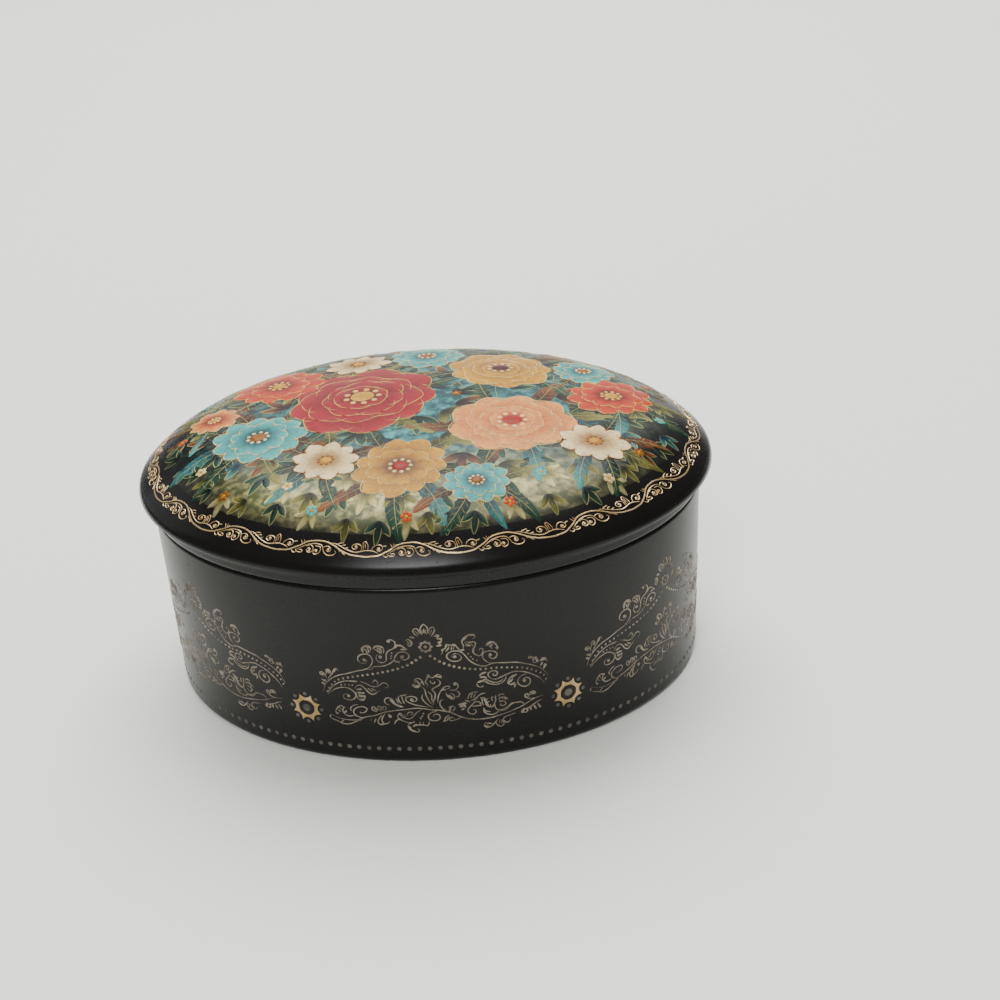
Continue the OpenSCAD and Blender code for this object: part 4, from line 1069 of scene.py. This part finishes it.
wall_lines = Gilder(on_wall)
wall_stars = Gilder(on_wall)
wall_pips = Gilder(on_wall)
wall_spots = Gilder(on_wall)
for panel in range(PANELS):
    shift = panel * panel_run
    for path in panel_strokes:
        wall_lines.stroke(path, LINE, shift=shift)
    for path in LOBES:
        wall_lines.stroke(path, LOBE, shift=shift, ends=0.45)
    for path in RIBS:
        wall_lines.stroke(path, RIB, shift=shift, ends=0.6)
    beads(wall_lines, LEFT_STRING, shift)
    beads(wall_lines, RIGHT_STRING, shift)
    for x, z in KNOBS:
        wall_lines.dot(x + shift, z, KNOB_R)
    for x, z in SEEDS:
        wall_lines.dot(x + shift, z, SEED_R)
    wall_lines.rosette(CREST_RUN + shift, CREST_Z, CREST_HOLE, scalloped)
    wall_lines.dot(CREST_RUN + shift, CREST_Z, CREST_PIP_R)
    centre = ROSETTE_RUN + shift
    wall_stars.rosette(centre, ROSETTE_Z, ROSETTE_HOLE, scooped)
    wall_pips.dot(centre, ROSETTE_Z, ROSETTE_HOLE + EYE_MARGIN, rise=0.02, steps=24)
    wall_spots.dot(centre, ROSETTE_Z, EYE_DOME_R, base=0.03, steps=20)
    for k in range(SATELLITES):
        a = 2 * math.pi * k / SATELLITES
        away, up = SATELLITE_REACH * math.cos(a), SATELLITE_REACH * math.sin(a)
        wall_spots.dot(centre + away, ROSETTE_Z + up, SATELLITE_R)
for k in range(FOOT_DOTS):
    wall_spots.dot(wall_ring.length * k / FOOT_DOTS, FOOT_DOT_Z, FOOT_DOT_R)
wall_lines.piece("wall_gilding", wall_gilt, "box")
wall_stars.piece("wall_rosettes", star_gilt, "box")
wall_pips.piece("wall_eyes", eye_gilt, "box")
wall_spots.piece("wall_dots", dot_gilt, "box")

# %% [markdown]
# A running vine goes round the lid's shoulder. It swings up and down once in each repeat. Over each low
# swing stand two curls with a tulip between them, and under each high swing hangs a cluster of three
# curls. The points are lengths along the border and the climb from the rim, in millimetres.

# %% Gilding of the lid's border
REPEATS = 18
VINE_W = 0.26
TENDRIL_W = 0.19
BERRY_R = 0.2
VINE = [(-5.9, -0.15), (-4.57, 0), (-3.71, 0.36), (-2.86, 0.79), (-2.14, 1.26), (-1.43, 1.5), (-0.4, 1.62),
        (0.4, 1.6), (1.14, 1.43), (2, 1.08), (2.86, 0.62), (3.71, 0.26), (4.57, 0.02), (5.43, -0.08),
        (6.2, -0.15), (6.85, -0.15)]
TENDRILS = [
    [(1.5, 1.45), (2.2, 1.36), (2.9, 1.06), (3.7, 0.72), (4.7, 0.42), (5.4, 0.4), (6.4, 0.6), (7.3, 0.58),
     (8.2, 0.3)],
    [(-6.93, 0.5), (-6.9, 0.95), (-7.07, 1.29), (-7.57, 1.46), (-8.14, 1.31), (-8.26, 1), (-7.93, 0.76),
     (-7.57, 0.86), (-7.5, 1.11), (-7.79, 1.17)],
    [(-6.64, 0.55), (-6.69, 1.21), (-6.79, 1.57), (-6.5, 1.83), (-6.21, 1.57), (-6, 1.07), (-6.07, 0.55)],
    [(-6.5, 1.6), (-6.36, 0.86)],
    [(-5.57, 0.45), (-5.36, 1), (-4.86, 1.36), (-4.29, 1.31), (-4, 1), (-4.14, 0.69), (-4.57, 0.57),
     (-4.79, 0.79), (-4.57, 1), (-4.36, 0.86)],
    [(-4.1, 1.15), (-3.46, 1.26)],
    [(-2.6, 0.95), (-3, 1.5)],
    [(-2.4, 1.05), (-2.55, 1.6)],
    [(-2.2, 1.15), (-2.2, 1.5)],
    [(2.2, 1.2), (2.6, 1.45), (3.3, 1.55)],
    [(2.9, 1), (3.2, 1.25), (3.6, 1.25)],
    [(3.4, 0.8), (4, 0.95)],
    [(3, 0.6), (3.3, 0.25), (3.7, 0)],
    [(2.6, 0.75), (3, 0.3)],
    [(-3.2, 0.25), (-2.2, 0.8), (-1.5, 1.08), (-0.57, 1.18), (0.2, 1.02), (0.5, 0.57), (0.75, 0.14),
     (1.29, -0.17), (2, -0.14), (2.43, 0.21), (2.14, 0.46)],
    [(0.5, 0.85), (1.1, 0.97), (1.57, 0.71), (1.57, 0.36), (1.2, 0.29), (1, 0.5)],
    [(-0.7, 0.9), (0, 0.79), (0.21, 0.36), (-0.07, -0.07), (-0.57, -0.17), (-0.79, 0.14), (-0.57, 0.43),
     (-0.21, 0.29)],
    [(-2, 0.75), (-1.4, 0.95), (-0.9, 0.6), (-1, 0.1), (-1.5, 0), (-1.8, 0.3), (-1.5, 0.55), (-1.2, 0.4)],
    [(-3.9, 0.1), (-3.7, -0.15), (-3.4, -0.2), (-3.2, 0), (-3.4, 0.2)],
    [(-3.2, 0), (-2.7, -0.12), (-2.3, 0), (-2.5, 0.2), (-2.9, 0.2)],
]
BERRIES = [(-7.7, 1.1), (-4.5, 0.85), (1.25, 0.55), (-1.4, 0.3), (-0.4, 0.25)]

border = Gilder(on_border)
for repeat in range(REPEATS):
    shift = repeat * border_ring.length / REPEATS
    border.stroke(VINE, VINE_W, shift=shift, ends=1.0)
    for path in TENDRILS:
        border.stroke(path, TENDRIL_W, shift=shift, ends=0.5)
    for x, climb in BERRIES:
        border.dot(x + shift, climb, BERRY_R, rise=0.05)
border.piece("lid_border", border_gilt, "lid")

# %% [markdown]
# The painting is a bouquet of garden flowers in the old tray-painter's manner: loaded petals that go from
# a dark root to a light edge, leaves with veins, and fine light outlines over everything. Each petal is a
# thin raised patch that follows the dome, and its colours are kept on the mesh as a colour attribute, so
# one enamel finish serves every flower. Towards the border the paint darkens, as the ground does.

# %% Enamel
enamel = Finish("enamel", Specular_IOR_Level=0.14)
laid = enamel.node("ShaderNodeAttribute", {"attribute_name": "paint"})
brush = enamel.noise(0.6, 5)
coat = enamel.noise(4, 3)
shadow = enamel.tint(laid, (0.7, 0.66, 0.68))
worked = enamel.mix(enamel.band(brush * 0.6 + coat * 0.4, 0.36, 0.6), shadow, laid)
dusk = enamel.tint(worked, (0.3, 0.32, 0.34))
rim_share = enamel.band(from_middle(enamel)[1] + coat * 4 - 2, PICTURE_EDGE - 6, PICTURE_EDGE)
enamel.set({"Base_Color": enamel.mix(rim_share, worked, dusk), "Roughness": brush * 0.15 + 0.24})
enamel.bump(brush, 0.015)
print("enamel nodes:", len(enamel.tree.nodes))

# %% Petals, leaves and outlines
HEART_DOTS = 9


def blend(first, second, share):
    """A colour between two colours."""
    return tuple(a + (b - a) * share for a, b in zip(first, second))


def petal(x, y, heading, length, width, colours, base, belly=1.5, bend=0.0, rise=0.07):
    """A petal from its root along a heading. belly above 1 puts its widest part nearer the tip."""
    root, mid, tip = colours
    along = Vector((math.cos(heading), math.sin(heading)))
    aside = Vector((-along.y, along.x))
    steps = 5 + round(0.6 * length)
    chain, widths = [], []
    for k in range(steps + 1):
        t = k / steps
        chain.append(Vector((x, y)) + along * length * t + aside * bend * length * t * t)
        widths.append(width * max(0.05, math.sin(math.pi * (0.04 + 0.93 * t) ** belly)) ** 0.75)
    lefts, rights = sides(chain, widths)

    def paint(t, across):
        edge = abs(2 * across - 1) ** 2
        inner = blend(root, mid, min(1, max(0, 2 * t - 0.4)))
        return blend(inner, tip, max(0, 1.6 * t - 0.6, 0.75 * edge * t))

    painting.ridge(lefts, rights, rise, across=6, base=base, paint=paint)
    return lefts, rights


def fine_line(path, width, rise, base, colour):
    """A thin line in one colour over the painting."""
    points = [tuple(p) for p in path]
    linework.stroke(points, width, rise, base=base, paint=lambda along, across: colour, step=0.34)


def outline(lefts, rights, root_share, colour, base):
    """A fine light line round the free edge of a petal, from a share of its length."""
    start = round(root_share * (len(lefts) - 1))
    fine_line(lefts[start::2] + rights[:start:-2], 0.17, 0.03, base, colour)


def flower(x, y, reach, rings, colours, line, heart):
    """Rings of petals from the outside in, as (count, length share, width share), and a heart of dots."""
    for level, (count, length, width) in enumerate(rings):
        base = 0.05 + 0.06 * level
        for k in range(count):
            heading = 2 * math.pi * (k + 0.5 * (level % 2)) / count + 0.35 * level
            grown = reach * length * (1 + 0.07 * math.sin(5 * k + 2 * level + x))
            petal_w = 2 * math.pi * grown / count * width
            lefts, rights = petal(x, y, heading, grown, petal_w, colours, base)
            outline(lefts, rights, 0.4, line, base + 0.02)
    top = 0.08 + 0.06 * len(rings)
    painting.dot(x, y, reach * 0.16, rise=0.12, steps=20, base=top, paint=heart)
    for k in range(HEART_DOTS):
        a = 2 * math.pi * k / HEART_DOTS
        spot = (x + reach * 0.22 * math.cos(a), y + reach * 0.22 * math.sin(a))
        painting.dot(*spot, reach * 0.035 + 0.08, base=top, paint=line)


def leaf(x, y, heading, length, width, colours, bend):
    """A leaf with a middle vein and side veins."""
    petal(x, y, heading, length, width, colours, 0.0, belly=0.85, bend=bend, rise=0.05)
    along = Vector((math.cos(heading), math.sin(heading)))
    aside = Vector((-along.y, along.x))
    root = Vector((x, y))
    spine = [root + along * length * t + aside * bend * length * t * t for t in spread(0.1, 0.92, 6)]
    fine_line(spine, 0.18, 0.03, 0.05, LEAF_LINE)
    for p, reach in zip(spine[1:5], (0.28, 0.32, 0.3, 0.2)):
        for side in (-1, 1):
            end = p + along * width * reach + aside * side * width * reach
            fine_line([p, end], 0.12, 0.02, 0.04, LEAF_LINE)


painting = Gilder(on_lid)
linework = Gilder(on_lid)
print("brushes ready")

# %% [markdown]
# The layout is a loose wreath of blooms of different sizes. Large warm flowers sit off centre, small cool
# ones and cream daisies fill the gaps, and leaves fan out behind them. Rows of small sprigs with tiny
# blossoms fill the ground and make a hedge along the dark edge, but not where a bloom covers them. A sine
# wobble keeps the rows from looking stamped.

# %% The bouquet
CREAM = rgb(236, 206, 140)
GOLD_LINE = rgb(226, 182, 96)
LEAF_LINE = rgb(176, 172, 112)
CRIMSON = (rgb(44, 2, 8), rgb(104, 3, 14), rgb(162, 22, 32))
SCARLET = (rgb(74, 7, 3), rgb(154, 24, 7), rgb(202, 66, 22))
PEACH = (rgb(110, 26, 5), rgb(198, 78, 22), rgb(232, 158, 78))
OCHRE = (rgb(62, 30, 2), rgb(142, 84, 6), rgb(208, 152, 26))
SKY = (rgb(2, 40, 48), rgb(10, 100, 106), rgb(76, 178, 168))
WHITE = (rgb(140, 98, 42), rgb(214, 178, 110), rgb(242, 222, 172))
PINE = (rgb(6, 20, 17), rgb(18, 46, 36), rgb(44, 82, 60))
OLIVE = (rgb(30, 32, 10), rgb(86, 88, 34), rgb(142, 136, 64))
TEAL_LEAF = (rgb(5, 38, 46), rgb(18, 86, 92), rgb(76, 148, 140))
RUSSET = (rgb(26, 10, 5), rgb(78, 38, 18), rgb(136, 80, 42))
STRAW = (rgb(92, 84, 34), rgb(176, 166, 90), rgb(228, 216, 150))

FULL = [(9, 1.0, 1.15), (8, 0.78, 1.15), (7, 0.56, 1.1), (5, 0.36, 1.1)]
DOUBLE = [(11, 1.0, 1.0), (9, 0.68, 1.0)]
SINGLE = [(9, 1.0, 0.9)]
BLOOMS = [
    (-9, 3, 11.5, FULL, CRIMSON, GOLD_LINE, OCHRE[2]),
    (14, -7, 9, FULL, PEACH, CREAM, SCARLET[1]),
    (12, 13, 8, FULL, OCHRE, CREAM, SCARLET[0]),
    (-24, -7, 7, DOUBLE, SKY, CREAM, OCHRE[1]),
    (29, 3, 6.5, DOUBLE, SCARLET, GOLD_LINE, OCHRE[2]),
    (-2, -19, 7, DOUBLE, OCHRE, CREAM, SCARLET[1]),
    (-23, 12, 7, DOUBLE, SCARLET, GOLD_LINE, OCHRE[2]),
    (0, 21, 6, DOUBLE, SKY, CREAM, OCHRE[1]),
    (-13, -16, 5, SINGLE, WHITE, OCHRE[1], OCHRE[2]),
    (26, -12, 5, SINGLE, WHITE, OCHRE[1], OCHRE[2]),
    (-11, 19, 5, SINGLE, WHITE, OCHRE[1], OCHRE[2]),
    (25, 13, 5, DOUBLE, SKY, CREAM, OCHRE[1]),
    (-32, 2, 4, SINGLE, PEACH, CREAM, OCHRE[2]),
    (9, -23, 4.5, DOUBLE, SKY, CREAM, OCHRE[1]),
]
LEAF_KINDS = (PINE, OLIVE, RUSSET, PINE, TEAL_LEAF)
LEAF_TURNS = (-2.5, -1.5, -0.75, 0.0, 0.75, 1.5, 2.5)
LONGEST_LEAF = 11
SHORTEST_LEAF = 4
MEADOW_KINDS = (STRAW, OLIVE, PINE)
MEADOW_Y = -17
POSY_R = 0.55
POSY_PETALS = 5
POSY_COLOURS = (CREAM, PEACH[1], SKY[2], OCHRE[1])
HEDGE = ((6, 9, 5.6), (14, 14, 5.2), (21, 22, 5.2), (27, 30, 4.8), (31.8, 38, 4.0), (36.4, 52, 3.1))


def sprig(x, y, heading, size, colours):
    """Three small leaves in a fan, edged with a fine light line."""
    for turn, share in ((-0.8, 0.8), (0.8, 0.8), (0.0, 1.0)):
        edges = petal(x, y, heading + turn, size * share, size * 0.34, colours, 0.0, belly=0.9, rise=0.04)
        outline(*edges, 0.25, LEAF_LINE, 0.02)


def covered(x, y, margin):
    """Whether a place lies under a bloom, or within a margin of its edge."""
    return any(math.hypot(x - a, y - b) < reach + margin for a, b, reach, *_ in BLOOMS)


def posy(x, y, colour):
    """A tiny blossom of dots round a heart."""
    for k in range(POSY_PETALS):
        a = 2 * math.pi * k / POSY_PETALS + x
        spot = (x + POSY_R * math.cos(a), y + POSY_R * math.sin(a))
        painting.dot(*spot, POSY_R * 0.62, base=0.05, paint=colour)
    painting.dot(x, y, POSY_R * 0.5, base=0.09, steps=8, paint=OCHRE[2])


for row, (reach, sprigs, size) in enumerate(HEDGE):
    for k in range(sprigs):
        turn = 2 * math.pi * (k + 0.5 * row) / sprigs + 0.06 * math.sin(7 * k + row)
        root = oval(reach + 0.7 * math.sin(5 * k) - RIM, turn, 0)
        heading = math.atan2(root.y, root.x) + 0.7 * math.sin(3 * k + 2 * row)
        kinds = MEADOW_KINDS if root.y < MEADOW_Y else LEAF_KINDS
        if not covered(root.x, root.y, -size):
            sprig(root.x, root.y, heading, size, kinds[(k + row) % len(kinds)])
        if (k + row) % 3 == 0 and not covered(root.x, root.y, 1.3):
            posy(root.x, root.y, POSY_COLOURS[k % len(POSY_COLOURS)])
count = 0
for x, y, reach, *_ in BLOOMS:
    away = math.atan2(y, x)
    for turn in LEAF_TURNS:
        heading = away + turn
        along = Vector((math.cos(heading), math.sin(heading)))
        length = min(reach * 0.9 + 4, LONGEST_LEAF)
        start = Vector((x, y)) + along * reach * 0.55
        end = start + along * length
        overhang = math.hypot(end.x, end.y / NARROW) - PICTURE_EDGE
        length -= max(0, overhang)
        if length > SHORTEST_LEAF:
            colours = LEAF_KINDS[count % len(LEAF_KINDS)]
            leaf(*start, heading, length, length * 0.36, colours, 0.18 * (-1) ** count)
            count += 1
for bloom in BLOOMS:
    flower(*bloom)
print("leaves:", count, "blooms:", len(BLOOMS))

painting.piece("lid_painting", enamel, "lid")
linework.piece("lid_linework", enamel, "lid")

# %% [markdown]
# The movement keeps its CAD shapes, because a music-box movement is made of stamped, turned and cast
# metal with crisp edges. Only its finishes change. Turned and drawn metal shows fine lines along one way,
# so the noise is stretched: small across the lines and long along them.

# %% Metals and other finishes of the movement
def metal(name, dark, light, roughness, grain, lines):
    """Metal with drawn lines: grain is the line width and lines stretches it, as shares of x, y and z."""
    finish = Finish(name, Metallic=1.0)
    drawn = finish.noise(grain, 3, finish.tint(finish.here(), lines))
    tarnish = finish.band(finish.noise(5, 4), 0.4, 0.7)
    share = drawn * 0.7 + tarnish * 0.3
    finish.set({"Base_Color": finish.mix(share, dark, light)})
    finish.set({"Roughness": drawn * 0.15 + tarnish * 0.1 + roughness})
    finish.bump(drawn, 0.01)
    return finish


def pressed_fibre():
    """Red-brown pressed fibre of the washers."""
    finish = Finish("pressed_fibre", Roughness=0.8)
    fluff = finish.noise(0.6, 6)
    finish.set({"Base_Color": finish.mix(fluff, rgb(110, 66, 44), rgb(160, 104, 74))})
    finish.bump(fluff, 0.05)
    return finish


def clear_cover():
    """Clear moulded cover with a faint haze and fine scratches."""
    finish = Finish("clear_cover", Transmission_Weight=0.92, IOR=1.49)
    haze = finish.noise(6, 4)
    scratch = finish.band(finish.noise(0.4, 2), 0.62, 0.7)
    finish.set({"Base_Color": finish.mix(haze, rgb(236, 242, 244), rgb(248, 250, 250))})
    finish.set({"Roughness": haze * 0.06 + scratch * 0.08 + 0.04})
    finish.bump(scratch, 0.004)
    return finish


finishes = {
    "brass": metal("brass", rgb(176, 132, 62), rgb(226, 186, 110), 0.24, 0.3, (1, 6, 6)),
    "steel": metal("bright_steel", rgb(150, 152, 154), rgb(206, 208, 210), 0.22, 0.25, (6, 6, 1)),
    "spring_steel": metal("blued_steel", rgb(62, 70, 84), rgb(122, 132, 148), 0.28, 0.25, (6, 1, 6)),
    "plated": metal("plated_casting", rgb(178, 176, 168), rgb(218, 215, 205), 0.34, 0.5, (1, 1, 1)),
    "fibre": pressed_fibre(),
    "clear": clear_cover(),
    "porcelain": body_glaze,
}
for part in frame["record"]["subparts"]:
    node = frame["nodes"][part["node"]]
    node.data.materials.clear()
    node.data.materials.append(finishes[part["material_slot"]].material)
